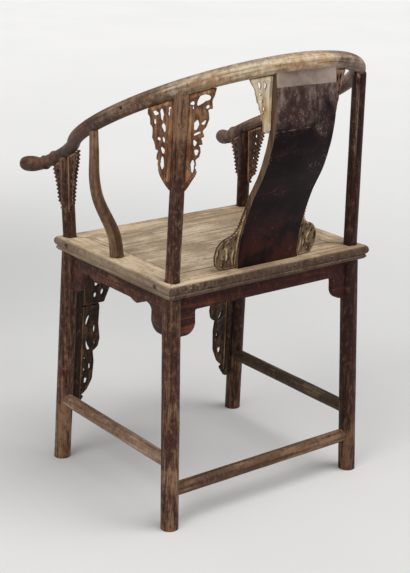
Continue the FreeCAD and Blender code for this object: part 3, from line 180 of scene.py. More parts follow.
class Paint:
    # Builds one material's nodes

    def __init__(self, name):
        self.material = bpy.data.materials.new(name)
        self.material.use_nodes = True
        self.tree = self.material.node_tree
        self.shader = self.tree.nodes["Principled BSDF"]

    def node(self, kind, settings=None, values=None, output=0):
        made = self.tree.nodes.new(kind)
        for key, value in (settings or {}).items():
            setattr(made, key, value)
        for key, value in (values or {}).items():
            self.feed(made.inputs[key], value)
        return Signal(self, made.outputs[output])

    def feed(self, socket, value):
        if isinstance(value, Signal):
            self.tree.links.new(value.socket, socket)
        elif isinstance(value, tuple) and len(value) == 3 and socket.type == "RGBA":
            socket.default_value = (*value, 1)
        else:
            socket.default_value = value

    def place(self):
        return self.node("ShaderNodeTexCoord", output="Object")

    def attribute(self, name, output="Vector"):
        return self.node("ShaderNodeAttribute", {"attribute_name": name}, output=output)

    def facing(self):  # the surface's own direction
        return self.parts(self.node("ShaderNodeNewGeometry", output="Normal"))

    def parts(self, vector):
        made = self.tree.nodes.new("ShaderNodeSeparateXYZ")
        self.feed(made.inputs[0], vector)
        return [Signal(self, output) for output in made.outputs]

    def stretched(self, vector, factors, shift=(0.0, 0.0, 0.0)):
        scaled = self.node("ShaderNodeVectorMath", {"operation": "MULTIPLY"}, {0: vector, 1: factors})
        return self.node("ShaderNodeVectorMath", {"operation": "ADD"}, {0: scaled, 1: shift})

    def cloud(self, vector, scale, detail=3.0, roughness=0.55, distortion=0.0):
        return self.node("ShaderNodeTexNoise", {}, {
            "Vector": vector, "Scale": scale, "Detail": detail, "Roughness": roughness, "Distortion": distortion})

    def blend(self, factor, first, second):
        made = self.tree.nodes.new("ShaderNodeMix")
        made.data_type = "RGBA"
        made.clamp_factor = True
        colours = [socket for socket in made.inputs if socket.type == "RGBA"]
        self.feed(made.inputs[0], factor)
        self.feed(colours[0], first)
        self.feed(colours[1], second)
        return Signal(self, next(socket for socket in made.outputs if socket.type == "RGBA"))

    def finish(self, colour, roughness, height, bumpDistance, specular):
        self.feed(self.shader.inputs["Base Color"], colour)
        self.feed(self.shader.inputs["Roughness"], roughness)
        self.shader.inputs["Specular IOR Level"].default_value = specular
        bump = self.node("ShaderNodeBump", {}, {"Strength": 0.7, "Distance": bumpDistance, "Height": height})
        self.feed(self.shader.inputs["Normal"], bump)
        return self.material


# Old wood: fibres and bands along the grain, worn patches, grime, pores and scratches

grainStretch = {"x": (0.05, 1.0, 1.0), "y": (1.0, 0.05, 1.0), "z": (1.0, 1.0, 0.05)}
dirtAndShadeTone = (0.004, 0.002, 0.001)  # as scene light, as is the tone of the spots; it darkens dark streaks and the painted shade on lower sides
spotTone = (0.003, 0.002, 0.001)

# what a wood's look leaves unsaid; sizes are given as noise scales
plainLook = {
    "bandScale": 90.0,
    "patchScale": 11.0,
    "bandWear": 0.55,  # how much the worn parts follow the bands
    "topWearAndLight": 0.0,  # how much paler the upper sides are, from wear and painted top light
    "streaks": 0.4,
    "mottle": 0.3,
    "lines": 0.45,
    "grime": 0.5,
    "grimeTone": (32, 24, 20),
    "lineTone": (30, 22, 18),
    "bump": 0.0006,
    "gloss": 0.2,
}


def railTones(paint, patches, tones, looks):  # paler round the back of the rail and darker along the arms
    along = paint.parts(paint.attribute("grainPlace"))[0]
    run = along.magnitude() + (patches - 0.5) * 0.12
    atBack = 1 - (run + (0.04 - along).rise(0.0, 0.16) * 0.26).rise(0.14, 0.34)
    atArm = run.rise(0.30, 0.50) * (1 - (0 - along).rise(0.38, 0.5) * 0.35)
    return [paint.blend(atArm, paint.blend(atBack, plain, linear(*back)), linear(*arm))
            for plain, back, arm in zip(tones, looks["back"], looks["arm"])]


def wearAndLightOf(paint, look, place, patches, bands, streaks, fibres, faceZ):  # where the surface is rubbed pale, with painted light on upper sides and a painted highlight at a post's head
    wear = patches + (bands - 0.5) * look["bandWear"] + (streaks - 0.5) * look["streaks"]
    # upper sides paler: rubbed wear plus painted light from above
    wear = wear + (fibres - 0.5) * 0.35 + faceZ * look["topWearAndLight"]
    if "relief" in look:
        wear = wear + (paint.attribute("relief", "Fac") - 0.5) * look["relief"]
    wear = wear + look["wear"] - 0.5
    if "slant" in look:  # paler toward the sitter's left
        wear = wear + paint.parts(place)[0] * look["slant"]
    if "end" in look:  # and toward scuffed feet
        low, high, amount = look["end"]
        wear = wear + (1 - paint.parts(place)[2].rise(low, high)) * amount
    if "top" in look:  # and at a post's head, worn and with a painted highlight
        wear = wear + paint.parts(place)[2].rise(*look["top"]) * 0.18
    return wear.rise(0.42, 0.72)


def oldWood(name, ownLook):
    look = {**plainLook, **ownLook}
    paint = Paint(name)
    place = paint.place()
    if look["grain"] == "run":
        flow = paint.stretched(paint.attribute("grainPlace"), (0.05, 1.0, 1.0))
    else:
        flow = paint.stretched(place, grainStretch[look["grain"]])
    fibres = paint.cloud(flow, 620.0, 4.0, 0.6)
    bands = paint.cloud(flow, look["bandScale"], 3.0, 0.6, 0.4)
    streaks = paint.cloud(paint.stretched(flow, (0.6, 1.0, 1.0), (1.3, 4.1, 2.2)), 250.0, 3.0, 0.6)
    patches = paint.cloud(place, look["patchScale"], 4.0, 0.62)
    specks = paint.cloud(place, 190.0, 3.0, 0.7)
    mottle = paint.cloud(paint.stretched(place, (1.0, 1.0, 0.6), (2.2, 6.1, 0.7)), 120.0, 4.0, 0.7)
    faceZ = paint.facing()[2]
    tones = [linear(*look[tone]) for tone in ("dark", "mid", "light")]
    if "tones" in look:
        tones = railTones(paint, patches, tones, look["tones"])
    dark, mid, light = tones
    colour = paint.blend(bands.rise(0.34, 0.66), dark, mid)
    # worn: rubbed wear together with painted top light and the painted highlight at a post's head
    worn = wearAndLightOf(paint, look, place, patches, bands, streaks, fibres, faceZ)
    colour = paint.blend(worn * 0.9, colour, light)
    if "stain" in look:  # a second tone in broad clouds
        stainCloud = paint.cloud(paint.stretched(place, (1.0, 1.0, 1.0), (3.1, 1.7, 5.3)), 9.0, 3.0, 0.6)
        stainMask = (stainCloud + (bands - 0.5) * 0.4).rise(0.5, 0.68) * look["stainShare"]
        colour = paint.blend(stainMask, colour, linear(*look["stain"]))
    grime = paint.cloud(paint.stretched(place, (1.0, 1.0, 1.0), (8.3, 2.9, 1.1)), 36.0, 4.0, 0.7).rise(0.56, 0.74)
    colour = paint.blend(grime * look["grime"], colour, linear(*look["grimeTone"]))
    if "relief" in look:  # dirt and painted shade in the hollows of the carving
        hollowDirtAndShade = 1 - paint.attribute("relief", "Fac").rise(0.60, 0.97)
        colour = paint.blend(hollowDirtAndShade * look["hollowDirtAndShade"], colour, linear(*look["hollowDirtAndShadeTone"]))
    if "crown" in look:  # darker polish that is left along the top
        polish = faceZ.rise(0.5, 0.92) * (0.75 + (streaks - 0.5) * 1.4 + (patches - 0.5) * 1.2) * look["crownShare"]
        colour = paint.blend(polish, colour, linear(*look["crown"]))
    if "under" in look:  # painted shade on the lower side, with grime from hands
        shade = (1 - faceZ.rise(-0.7, 0.45)) * (0.8 + (streaks - 0.5) * 1.2) * look["under"]
        colour = paint.blend(shade, colour, paint.blend(0.62, colour, dirtAndShadeTone))
    shadow = (1 - streaks).rise(0.52, 0.66) * look["streaks"]
    colour = paint.blend(shadow, colour, paint.blend(0.5, colour, dirtAndShadeTone))
    spots = (1 - mottle).rise(0.50, 0.64) * look["mottle"]
    colour = paint.blend(spots, colour, paint.blend(0.55, colour, spotTone))
    colour = paint.blend(mottle.rise(0.52, 0.68) * look["mottle"], colour, paint.blend(0.5, colour, light))
    if "side" in look:  # a darker moulded edge round a worn top
        rim = (1 - faceZ.rise(0.6, 0.97)) * (0.9 + (mottle - 0.5) * 0.9) * look["sideShare"]
        colour = paint.blend(rim, colour, linear(*look["side"]))
    lines = paint.cloud(paint.stretched(flow, (0.4, 1.0, 1.0)), 330.0, 2.0, 0.5).rise(0.60, 0.68)
    colour = paint.blend(lines * look["lines"], colour, linear(*look["lineTone"]))
    colour = paint.blend((fibres - 0.5) * 0.9 + 0.5, paint.blend(0.25, colour, (0, 0, 0)), colour)
    colour = paint.blend(specks.rise(0.62, 0.72) * 0.35, colour, light)
    roughness = (0.56 + (fibres - 0.5) * 0.4 + (patches - 0.5) * 0.3).clamped()
    height = bands * 0.5 + fibres * 0.5 - lines * 0.5 + specks * 0.15
    return paint.finish(colour, roughness, height, look["bump"], look["gloss"])


seatLook = {"topWearAndLight": 0.08, "grime": 0.4, "lines": 0.2, "patchScale": 10.0, "slant": 0.35, "bump": 0.0004,
            "mottle": 0.35, "streaks": 0.15}
carvedLook = {"grain": "z", "wear": 0.44, "relief": 0.3, "grime": 0.35}
woods = {
    # railWood's under share darkens the rail's lower side: painted shade with grime
    "railWood": {"grain": "run", "dark": (96, 70, 52), "mid": (138, 110, 88), "light": (212, 188, 160),
                 "wear": 0.49, "topWearAndLight": 0.1, "bandWear": 0.3, "patchScale": 16.0, "grime": 0.4,
                 "stain": (118, 72, 48), "stainShare": 0.6, "gloss": 0.3, "under": 0.75, "streaks": 0.5,
                 "mottle": 0.65, "crown": (98, 62, 46), "crownShare": 0.65,
                 "tones": {"back": ((188, 150, 112), (232, 196, 152), (255, 240, 210)),
                           "arm": ((48, 31, 23), (72, 50, 38), (140, 110, 88))}},
    "pinWood": {"grain": "z", "dark": (44, 32, 25), "mid": (78, 58, 44), "light": (120, 96, 74), "wear": 0.4},
    "legWood": {"grain": "z", "dark": (66, 39, 28), "mid": (87, 55, 41), "light": (154, 118, 90), "wear": 0.44,
                "grime": 0.35, "stain": (76, 38, 26), "stainShare": 0.6, "end": (0.05, 0.34, 0.17),
                "top": (0.66, 0.90), "bandScale": 70.0, "streaks": 0.9, "mottle": 0.9},
    # the right legs' copy of legWood, darker as painted shade
    "legShadedWood": {"grain": "z", "dark": (38, 17, 11), "mid": (58, 29, 18), "light": (122, 88, 63), "wear": 0.40,
                    "grime": 0.35, "stain": (66, 25, 15), "stainShare": 0.6, "end": (0.05, 0.30, 0.19),
                    "bandScale": 70.0, "streaks": 0.7, "mottle": 0.8},
    "sidePostWood": {"grain": "run", "dark": (100, 73, 54), "mid": (126, 94, 70), "light": (171, 137, 104),
                     "streaks": 0.5, "wear": 0.46, "grime": 0.35, "mottle": 0.6},
    "seatLongWood": {"grain": "x", "dark": (164, 136, 106), "mid": (190, 162, 130), "light": (238, 214, 180),
                     "wear": 0.48, "side": (66, 44, 32), "sideShare": 1.0, **seatLook},
    "seatShortWood": {"grain": "y", "dark": (168, 142, 113), "mid": (194, 168, 136), "light": (242, 218, 184),
                      "wear": 0.46, "side": (98, 78, 63), "sideShare": 0.8, **seatLook},
    "seatPanelWood": {"grain": "x", "dark": (166, 142, 114), "mid": (190, 166, 136), "light": (238, 218, 188),
                      "wear": 0.47, **seatLook, "topWearAndLight": 0.04, "grime": 0.45, "lines": 0.22,
                      "patchScale": 9.0, "grimeTone": (104, 88, 74)},
    "battenWood": {"grain": "y", "dark": (70, 54, 42), "mid": (112, 90, 70), "light": (150, 126, 100), "wear": 0.42},
    "apronWood": {"grain": "y", "dark": (58, 28, 19), "mid": (84, 45, 31), "light": (150, 104, 78), "wear": 0.42,
                  "grime": 0.4, "stain": (80, 38, 26), "stainShare": 0.5, "streaks": 0.6, "mottle": 0.8},
    "rearApronWood": {"grain": "x", "dark": (44, 14, 8), "mid": (64, 23, 14), "light": (128, 68, 46), "wear": 0.39,
                      "grime": 0.4, "stain": (68, 20, 13), "stainShare": 0.6, "streaks": 0.6, "mottle": 0.7},
    "sideStretcherWood": {"grain": "y", "dark": (128, 98, 76), "mid": (162, 132, 108), "light": (212, 184, 154),
                          "streaks": 0.5, "wear": 0.47, "grime": 0.35, "mottle": 0.5},
    # the right stretcher's copy of the side stretcher wood, darker as painted shade
    "innerStretcherShadedWood": {"grain": "y", "dark": (62, 47, 35), "mid": (88, 72, 56), "light": (142, 120, 95),
                           "wear": 0.44, "grime": 0.4, "mottle": 0.5},
    "rearStretcherWood": {"grain": "x", "dark": (84, 57, 41), "mid": (108, 78, 57), "light": (153, 119, 90),
                          "streaks": 0.6, "wear": 0.45, "grime": 0.4, "stain": (96, 55, 37), "stainShare": 0.5,
                          "mottle": 0.7},
    "tanCarving": {**carvedLook, "dark": (120, 76, 48), "mid": (162, 112, 74), "light": (210, 168, 126),
                   "wear": 0.46, "relief": 0.15, "hollowDirtAndShade": 0.65, "hollowDirtAndShadeTone": (84, 48, 28), "mottle": 0.7},
    "paleCarving": {**carvedLook, "dark": (198, 160, 112), "mid": (236, 206, 158), "light": (252, 238, 208),
                    "wear": 0.5, "grime": 0.25, "grimeTone": (142, 106, 72), "hollowDirtAndShade": 0.5,
                    "hollowDirtAndShadeTone": (120, 86, 56)},
    "footCarving": {**carvedLook, "dark": (120, 88, 62), "mid": (178, 140, 102), "light": (236, 202, 156),
                    "wear": 0.46, "hollowDirtAndShade": 0.8, "hollowDirtAndShadeTone": (26, 16, 10), "mottle": 0.4},
    # dark carving: the front brackets' own dark tone, and painted shade on the mirrored right rear brackets and right
    # wing
    "darkAndShadedCarving": {**carvedLook, "dark": (86, 53, 38), "mid": (130, 88, 66), "light": (188, 142, 110),
                    "hollowDirtAndShade": 0.75, "hollowDirtAndShadeTone": (24, 14, 10), "mottle": 0.5},
    "frontCarving": {**carvedLook, "dark": (70, 45, 31), "mid": (108, 73, 50), "light": (168, 126, 92),
                     "relief": 0.25, "hollowDirtAndShade": 0.8, "hollowDirtAndShadeTone": (16, 9, 6), "mottle": 0.6},
}
finishes = {name: oldWood(name, look) for name, look in woods.items()}


lacquer = {
    "deep": (20, 11, 13),
    "thin": (38, 24, 24),
    "foot": (64, 30, 24),
    "footEnd": (0.53, 0.66),  # levels between which the foot's tone fades
    "haze": (84, 62, 58),
    "bloom": (146, 128, 120),
    "hazeStart": (0.78, 0.90),
    "chip": (150, 134, 122),
    "strip": ((124, 110, 100), (172, 156, 144)),
    "stripStart": (0.8862, 0.8882),
    "ring": (128, 108, 100),
    "ringLevel": 0.806,
    "edge": ((66, 50, 40), (124, 100, 80)),
    "bump": 0.0005,
    "gloss": 0.06,
}


def lacquerFinish():  # the splat: dark lacquer, a pale bare strip at the top and lighter edges
    paint = Paint("splatLacquer")
    place = paint.place()
    x, y, z = paint.parts(place)
    streaks = paint.cloud(paint.stretched(place, (1.0, 1.0, 0.08)), 160.0, 4.0, 0.62)
    clouds = paint.cloud(place, 16.0, 4.0, 0.6)
    specks = paint.cloud(place, 260.0, 4.0, 0.75)
    colour = paint.blend(clouds.rise(0.35, 0.65), linear(*lacquer["deep"]), linear(*lacquer["thin"]))
    low = 1 - z.rise(*lacquer["footEnd"])
    colour = paint.blend(low * clouds.rise(0.4, 0.6) * 0.7, colour, linear(*lacquer["foot"]))
    worn = (z + (clouds - 0.5) * 0.24).rise(*lacquer["hazeStart"])
    haze = paint.cloud(paint.stretched(place, (1.0, 1.0, 0.5)), 60.0, 4.0, 0.7)
    colour = paint.blend(worn * 0.8, colour, linear(*lacquer["haze"]))
    colour = paint.blend(worn * haze.rise(0.44, 0.64) * 0.65, colour, linear(*lacquer["bloom"]))
    chips = (specks + (clouds - 0.5) * 0.6 + z.rise(0.5, 0.95) * 0.10).rise(0.70, 0.76)
    colour = paint.blend(chips * 0.8, colour, linear(*lacquer["chip"]))
    strip = (z - x * 0.01 + (clouds - 0.5) * 0.004).rise(*lacquer["stripStart"])
    bare = paint.blend(clouds.rise(0.3, 0.7), *(linear(*tone) for tone in lacquer["strip"]))
    colour = paint.blend(strip, colour, bare)
    ring = 1 - (z + x * 0.03 + (haze - 0.5) * 0.004 - lacquer["ringLevel"]).magnitude().rise(0.0004, 0.0016)
    ring = ring * x.rise(-0.02, 0.0) * haze.rise(0.40, 0.56)
    colour = paint.blend(ring * 0.7, colour, linear(*lacquer["ring"]))
    side = paint.facing()[0].magnitude().rise(0.55, 0.8)
    edge = paint.blend(streaks.rise(0.3, 0.7), *(linear(*tone) for tone in lacquer["edge"]))
    colour = paint.blend(side, colour, edge)
    roughness = (0.44 + (clouds - 0.5) * 0.3 + chips * 0.3 + strip * 0.25 + side * 0.2).clamped()
    height = streaks * 0.4 + specks * 0.4 - chips * 0.8 - strip * 1.2
    return paint.finish(colour, roughness, height, lacquer["bump"], lacquer["gloss"])


def floorFinish():
    paint = Paint("studioFloor")
    place = paint.place()
    clouds = paint.cloud(place, 1.4, 3.0, 0.5)
    grit = paint.cloud(place, 60.0, 4.0, 0.7)
    x, y, z = paint.parts(place)
    # painted light: the floor grows paler with distance, as a lit backdrop does
    far = (x * -0.62 + y * -0.78 + (clouds - 0.5) * 1.5).rise(0.5, 7.0)
    colour = paint.blend(far, linear(*studio["floorTone"]), linear(*studio["farLitTone"]))
    # painted shade: a darker band across the floor at middle distance, deeper toward the left
    away = x * -0.62 + y * -0.78 + (clouds - 0.5) * 0.6
    leftward = (x * 0.78 + y * -0.62).rise(-1.0, 0.9)
    shadeBand = 1 - (away - 1.2).magnitude().rise(0.0, 1.7)
    colour = paint.blend(shadeBand * (0.12 + leftward * 0.38), colour, linear(*studio["shadeTone"]))
    colour = paint.blend(clouds.rise(0.35, 0.65) * 0.05, colour, linear(*studio["cloudTone"]))
    colour = paint.blend(grit.rise(0.70, 0.76) * 0.08, colour, linear(*studio["gritTone"]))
    return paint.finish(colour, 0.85 + (grit - 0.5) * 0.1, grit, 0.0004, 0.1)


finishes["splatLacquer"] = lacquerFinish()
finishes["studioFloor"] = floorFinish()
print("finishes made:", len(finishes))


# Making pieces

def meshPiece(name, points, faces):
    mesh = bpy.data.meshes.new(name)
    mesh.from_pydata(points, [], faces)
    mesh.update()
    return link(bpy.data.objects.new(name, mesh))


def baked(item, name):  # the evaluated object as a plain mesh piece
    depsgraph = bpy.context.evaluated_depsgraph_get()
    mesh = bpy.data.meshes.new_from_object(item.evaluated_get(depsgraph))
    piece = link(bpy.data.objects.new(name, mesh))
    bpy.data.objects.remove(item)
    return piece


def outward(piece):  # turns a closed mesh that came out inside out
    work = bmesh.new()
    work.from_mesh(piece.data)
    if work.calc_volume(signed=True) < 0:
        bmesh.ops.reverse_faces(work, faces=work.faces)
        work.to_mesh(piece.data)
    work.free()


def mirrorPiece(piece, name):
    work = bmesh.new()
    work.from_mesh(piece.data)
    bmesh.ops.scale(work, vec=(-1, 1, 1), verts=work.verts)
    bmesh.ops.reverse_faces(work, faces=work.faces)
    mesh = bpy.data.meshes.new(name)
    work.to_mesh(mesh)
    work.free()
    for material in piece.data.materials:
        mesh.materials.append(material)
    return link(bpy.data.objects.new(name, mesh))


def evenNormals(piece):
    work = bmesh.new()
    work.from_mesh(piece.data)
    bmesh.ops.recalc_face_normals(work, faces=work.faces)
    work.to_mesh(piece.data)
    work.free()
    return piece


def unevenness(amount, spot):  # wanders slowly between nothing and an amount
    return amount * (0.5 + 0.5 * noise.noise(spot))


def handOver(piece, finish, node):
    piece.data.materials.clear()
    piece.data.materials.append(finishes[finish])
    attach(piece, "root")
    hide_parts(node)


def handPair(left, leftFinish, rightFinish, node):  # a left piece and its mirror image
    right = mirrorPiece(left, left.name.replace("Left", "Right"))
    handOver(left, leftFinish, node + "_left")
    handOver(right, rightFinish, node + "_right")


def setGrainPlace(piece, along):
    # Stores the distance along the grain and the place across it at every vertex
    attributes = piece.data.attributes
    attribute = attributes.get("grainPlace") or attributes.new("grainPlace", "FLOAT_VECTOR", "POINT")
    for vertex in piece.data.vertices:
        attribute.data[vertex.index].vector = along(vertex.co)


def treeNode(tree, kind, values=None, settings=None):
    made = tree.nodes.new(kind)
    for key, value in (settings or {}).items():
        setattr(made, key, value)
    for key, value in (values or {}).items():
        if isinstance(value, bpy.types.NodeSocket):
            tree.links.new(value, made.inputs[key])
        else:
            made.inputs[key].default_value = value
    return made


def newTree(name, inputs):  # a tree that begins with the curves of a line object
    tree = bpy.data.node_groups.new(name, "GeometryNodeTree")
    tree.interface.new_socket("Geometry", in_out="OUTPUT", socket_type="NodeSocketGeometry")
    tree.interface.new_socket("Line", in_out="INPUT", socket_type="NodeSocketGeometry")
    for socketName, socketType in inputs:
        tree.interface.new_socket(socketName, in_out="INPUT", socket_type=socketType)
    tree.interface.new_socket("Finish", in_out="INPUT", socket_type="NodeSocketMaterial")
    entry = tree.nodes.new("NodeGroupInput")
    curve = treeNode(tree, "GeometryNodeMeshToCurve", {"Mesh": entry.outputs["Line"]})
    return tree, entry, curve.outputs[0]


def finishTree(tree, entry, geometry):
    real = treeNode(tree, "GeometryNodeRealizeInstances", {"Geometry": geometry})
    smooth = treeNode(tree, "GeometryNodeSetShadeSmooth", {"Geometry": real.outputs[0]})
    painted = treeNode(tree, "GeometryNodeSetMaterial",
                       {"Geometry": smooth.outputs[0], "Material": entry.outputs["Finish"]})
    leave = tree.nodes.new("NodeGroupOutput")
    tree.links.new(painted.outputs[0], leave.inputs[0])
    return tree


def shapedBy(tree, line, name, values):
    # Runs a geometry tree over an object and keeps the result as a plain mesh
    modifier = line.modifiers.new(tree.name, "NODES")
    modifier.node_group = tree
    for item in tree.interface.items_tree:
        if item.item_type == "SOCKET" and item.in_out == "INPUT" and item.name in values:
            modifier[item.identifier] = values[item.name]
    return baked(line, name)


def turnedBarTree():
    # Tubes along every line of the mesh, as thick as its "girth" attribute says
    tree, entry, curve = newTree("turnedBar", [("Sides", "NodeSocketInt"), ("Width Share", "NodeSocketFloat")])
    girth = treeNode(tree, "GeometryNodeInputNamedAttribute", {"Name": "girth"}, {"data_type": "FLOAT"})
    thick = treeNode(tree, "GeometryNodeSetCurveRadius", {"Curve": curve, "Radius": girth.outputs[0]})
    circle = treeNode(tree, "GeometryNodeCurvePrimitiveCircle",
                      {"Resolution": entry.outputs["Sides"], "Radius": 1.0}, {"mode": "RADIUS"})
    widen = treeNode(tree, "ShaderNodeCombineXYZ", {"X": entry.outputs["Width Share"], "Y": 1.0, "Z": 1.0})
    section = treeNode(tree, "GeometryNodeTransform", {"Geometry": circle.outputs[0], "Scale": widen.outputs[0]})
    tube = treeNode(tree, "GeometryNodeCurveToMesh",
                    {"Curve": thick.outputs[0], "Profile Curve": section.outputs[0], "Fill Caps": True})
    if "Scale" in tube.inputs:
        radius = treeNode(tree, "GeometryNodeInputRadius")
        tree.links.new(radius.outputs[0], tube.inputs["Scale"])
    return finishTree(tree, entry, tube.outputs[0])


def beadRowTree():
    # Round beads at even steps along every line of the mesh
    tree, entry, curve = newTree("beadRow", [("Bead Radius", "NodeSocketFloat"), ("Step", "NodeSocketFloat")])
    even = treeNode(tree, "GeometryNodeResampleCurve",
                    {"Curve": curve, "Length": entry.outputs["Step"]}, {"mode": "LENGTH"})
    ball = treeNode(tree, "GeometryNodeMeshIcoSphere", {"Radius": entry.outputs["Bead Radius"], "Subdivisions": 2})
    row = treeNode(tree, "GeometryNodeInstanceOnPoints", {"Points": even.outputs[0], "Instance": ball.outputs[0]})
    return finishTree(tree, entry, row.outputs[0])


turnedBar = turnedBarTree()
beadRow = beadRowTree()


def lineObject(name, strokes):
    # Open lines of points and half widths as one mesh of edges
    points = []
    edges = []
    girths = []
    for stroke in strokes:
        first = len(points)
        for place, girth in stroke:
            points.append(place)
            girths.append(girth)
        edges += [(index, index + 1) for index in range(first, len(points) - 1)]
    mesh = bpy.data.meshes.new(name)
    mesh.from_pydata(points, edges, [])
    attribute = mesh.attributes.new("girth", "FLOAT", "POINT")
    attribute.data.foreach_set("value", girths)
    return link(bpy.data.objects.new(name, mesh))


def turnedPiece(name, strokes, finish, sides=40, widthShare=1.0):
    line = lineObject(name + "Line", strokes)
    piece = shapedBy(turnedBar, line, name,
                     {"Sides": sides, "Width Share": widthShare, "Finish": finishes[finish]})
    outward(piece)
    return piece


easing = {
    "flat": 0.8,  # faces that meet at less than this, in degrees, become one
    "sharp": 38.0,  # edges that turn by more than this are eased
    "shortest": 0.0015,
    "shaded": 42.0,  # and edges that turn by less are shaded smooth
    "wearScale": 28.0,
}


def softened(node, name, bevel, step, axis, worn, seed):
    # A copy of a CAD node with eased edges and, where asked, an unevenly worn surface
    work = bmesh.new()
    work.from_mesh(nodes[node].data)
    bmesh.ops.remove_doubles(work, verts=work.verts, dist=1e-6)
    bmesh.ops.dissolve_limit(work, angle_limit=math.radians(easing["flat"]), verts=work.verts, edges=work.edges)
    if bevel > 0:
        sharp = [edge for edge in work.edges if len(edge.link_faces) == 2
                 and edge.calc_face_angle(0.0) > math.radians(easing["sharp"])
                 and edge.calc_length() > easing["shortest"]]
        bmesh.ops.bevel(work, geom=sharp, offset=bevel, segments=2, profile=0.6, affect="EDGES", clamp_overlap=True)
    if step > 0:
        low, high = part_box(node)
        direction = Vector([1.0 if index == axis else 0.0 for index in range(3)])
        place = low[axis] + step
        while place < high[axis] - step / 2:
            geometry = work.verts[:] + work.edges[:] + work.faces[:]
            bmesh.ops.bisect_plane(work, geom=geometry, plane_co=direction * place, plane_no=direction, dist=1e-6)
            place += step
    if worn > 0:
        work.normal_update()
        moves = {}
        for vertex in work.verts:
            spot = vertex.co * easing["wearScale"] + Vector((seed, seed * 2, 0.0))
            moves[vertex] = vertex.normal * -unevenness(worn, spot)
        for vertex, move in moves.items():
            vertex.co += move
    mesh = bpy.data.meshes.new(name)
    work.to_mesh(mesh)
    work.free()
    mesh.shade_smooth()
    mesh.set_sharp_from_angle(angle=math.radians(easing["shaded"]))
    return link(bpy.data.objects.new(name, mesh))


# Crest rail: five lengths of one bent line, lapped in cogged scarfs

rail = {
    "tilt": 27.2,
    "centre": (0.0, 0.0197, 0.7947),
    "radius": 0.2981,
    "arcTurn": 117.7,
    "endRadius": 0.2168,
    "endTurn": 45.6,
    "halfWidths": ((0.0, 0.0175), (47.5, 0.01625), (89.5, 0.01475), (139.5, 0.013), (163.3, 0.013)),
    "backScarf": 29.0,
    "armScarf": 71.0,
    "scarfHalf": 5.958,
    "cog": 1.153,
    "cogHeight": 0.0045,
    "gripStart": 0.6,  # how many degrees before the arm's end the grip takes over
    "gripRise": 19.4,
    "gripYaw": 3.7,
    # distance from the arm's end and half width
    "grip": ((0.0, 0.0122), (0.006, 0.0137), (0.012, 0.0150), (0.018, 0.0160), (0.024, 0.0165), (0.030, 0.0165),
             (0.036, 0.0161), (0.041, 0.0153), (0.045, 0.0141), (0.048, 0.0125), (0.0503, 0.0105), (0.0519, 0.0080),
             (0.0527, 0.0052), (0.0530, 0.0022)),
    "collars": (151.5, 160.5),
    "collarHalf": 0.004,
    "collarRise": 0.0022,
    "wobble": 0.00035,
    "wobbleEnd": 148.5,  # from here on, the arm's neck is even
    "spare": 0.5,  # how far a length runs on past its scarf before it is cut
    "seam": 0.0003,
}
railAcross = Vector((1.0, 0.0, 0.0))
railAlong = Vector((0.0, math.cos(math.radians(rail["tilt"])), math.sin(math.radians(rail["tilt"]))))
railNormal = railAcross.cross(railAlong)
railCentre = Vector(rail["centre"])


def railSpot(turn):  # centre and direction of the rail on the sitter's left, by the turn from the back
    radius = rail["radius"]
    if turn <= rail["arcTurn"]:
        angle = math.radians(turn)
        u, w = radius * math.sin(angle), radius * math.cos(angle)
    else:
        end = math.radians(rail["arcTurn"])
        angle = math.radians(2 * rail["arcTurn"] - turn)
        bend = rail["endRadius"]
        u = (radius + bend) * math.sin(end) - bend * math.sin(angle)
        w = (radius + bend) * math.cos(end) - bend * math.cos(angle)
    forward = railAcross * math.cos(angle) - railAlong * math.sin(angle)
    return railCentre + railAcross * u + railAlong * w, forward


def railHalfWidth(turn):
    turn = abs(turn)
    stations = rail["halfWidths"]
    for (lowTurn, low), (highTurn, high) in zip(stations, stations[1:]):
        if turn <= highTurn:
            return low + (high - low) * (turn - lowTurn) / (highTurn - lowTurn)
    return stations[-1][1]


def railRun(turn):  # length of the rail from its back to a turn
    turn = abs(turn)
    arc = math.radians(min(turn, rail["arcTurn"])) * rail["radius"]
    return arc + math.radians(max(0.0, turn - rail["arcTurn"])) * rail["endRadius"]


def railStations(start, end):
    places = []
    count = max(2, round(abs(end - start) / 1.6))
    for index in range(count + 1):
        turn = start + (end - start) * index / count
        spot, forward = railSpot(abs(turn))
        if turn < 0:
            spot = Vector((-spot.x, spot.y, spot.z))
        girth = railHalfWidth(turn)
        if abs(turn) < rail["wobbleEnd"]:
            girth -= unevenness(rail["wobble"], spot * 24.0)
        places.append((spot, girth))
    return places


def armStations():
    places = []
    start = rail["armScarf"] - rail["scarfHalf"] - rail["cog"] - rail["spare"]
    end = rail["arcTurn"] + rail["endTurn"]
    stops = [start + (end - start) * index / 60 for index in range(61)]
    halfCollar = math.degrees(rail["collarHalf"] / rail["endRadius"])
    for middle in rail["collars"]:
        stops = [stop for stop in stops if abs(stop - middle) > halfCollar * 1.15]
        stops += [middle + halfCollar * share for share in (-1.1, -1.0, -0.9, -0.7, -0.4, 0.0, 0.4, 0.7, 0.9, 1.0, 1.1)]
    for stop in sorted(stops):
        if stop > end - rail["gripStart"]:
            continue
        spot, forward = railSpot(stop)
        girth = railHalfWidth(stop)
        if stop < rail["wobbleEnd"]:
            girth -= unevenness(rail["wobble"], spot * 24.0)
        for middle in rail["collars"]:
            share = abs(stop - middle) / halfCollar
            if share < 1.0:
                girth += rail["collarRise"] * math.sqrt(1 - share * share)
        places.append((spot, girth))
    spot, forward = railSpot(end)
    heading = math.atan2(forward.y, forward.x) + math.radians(rail["gripYaw"])
    rise = math.asin(forward.z) + math.radians(rail["gripRise"])
    axis = Vector((math.cos(rise) * math.cos(heading), math.cos(rise) * math.sin(heading), math.sin(rise)))
    places += [(spot + axis * distance, girth) for distance, girth in rail["grip"]]
    return places


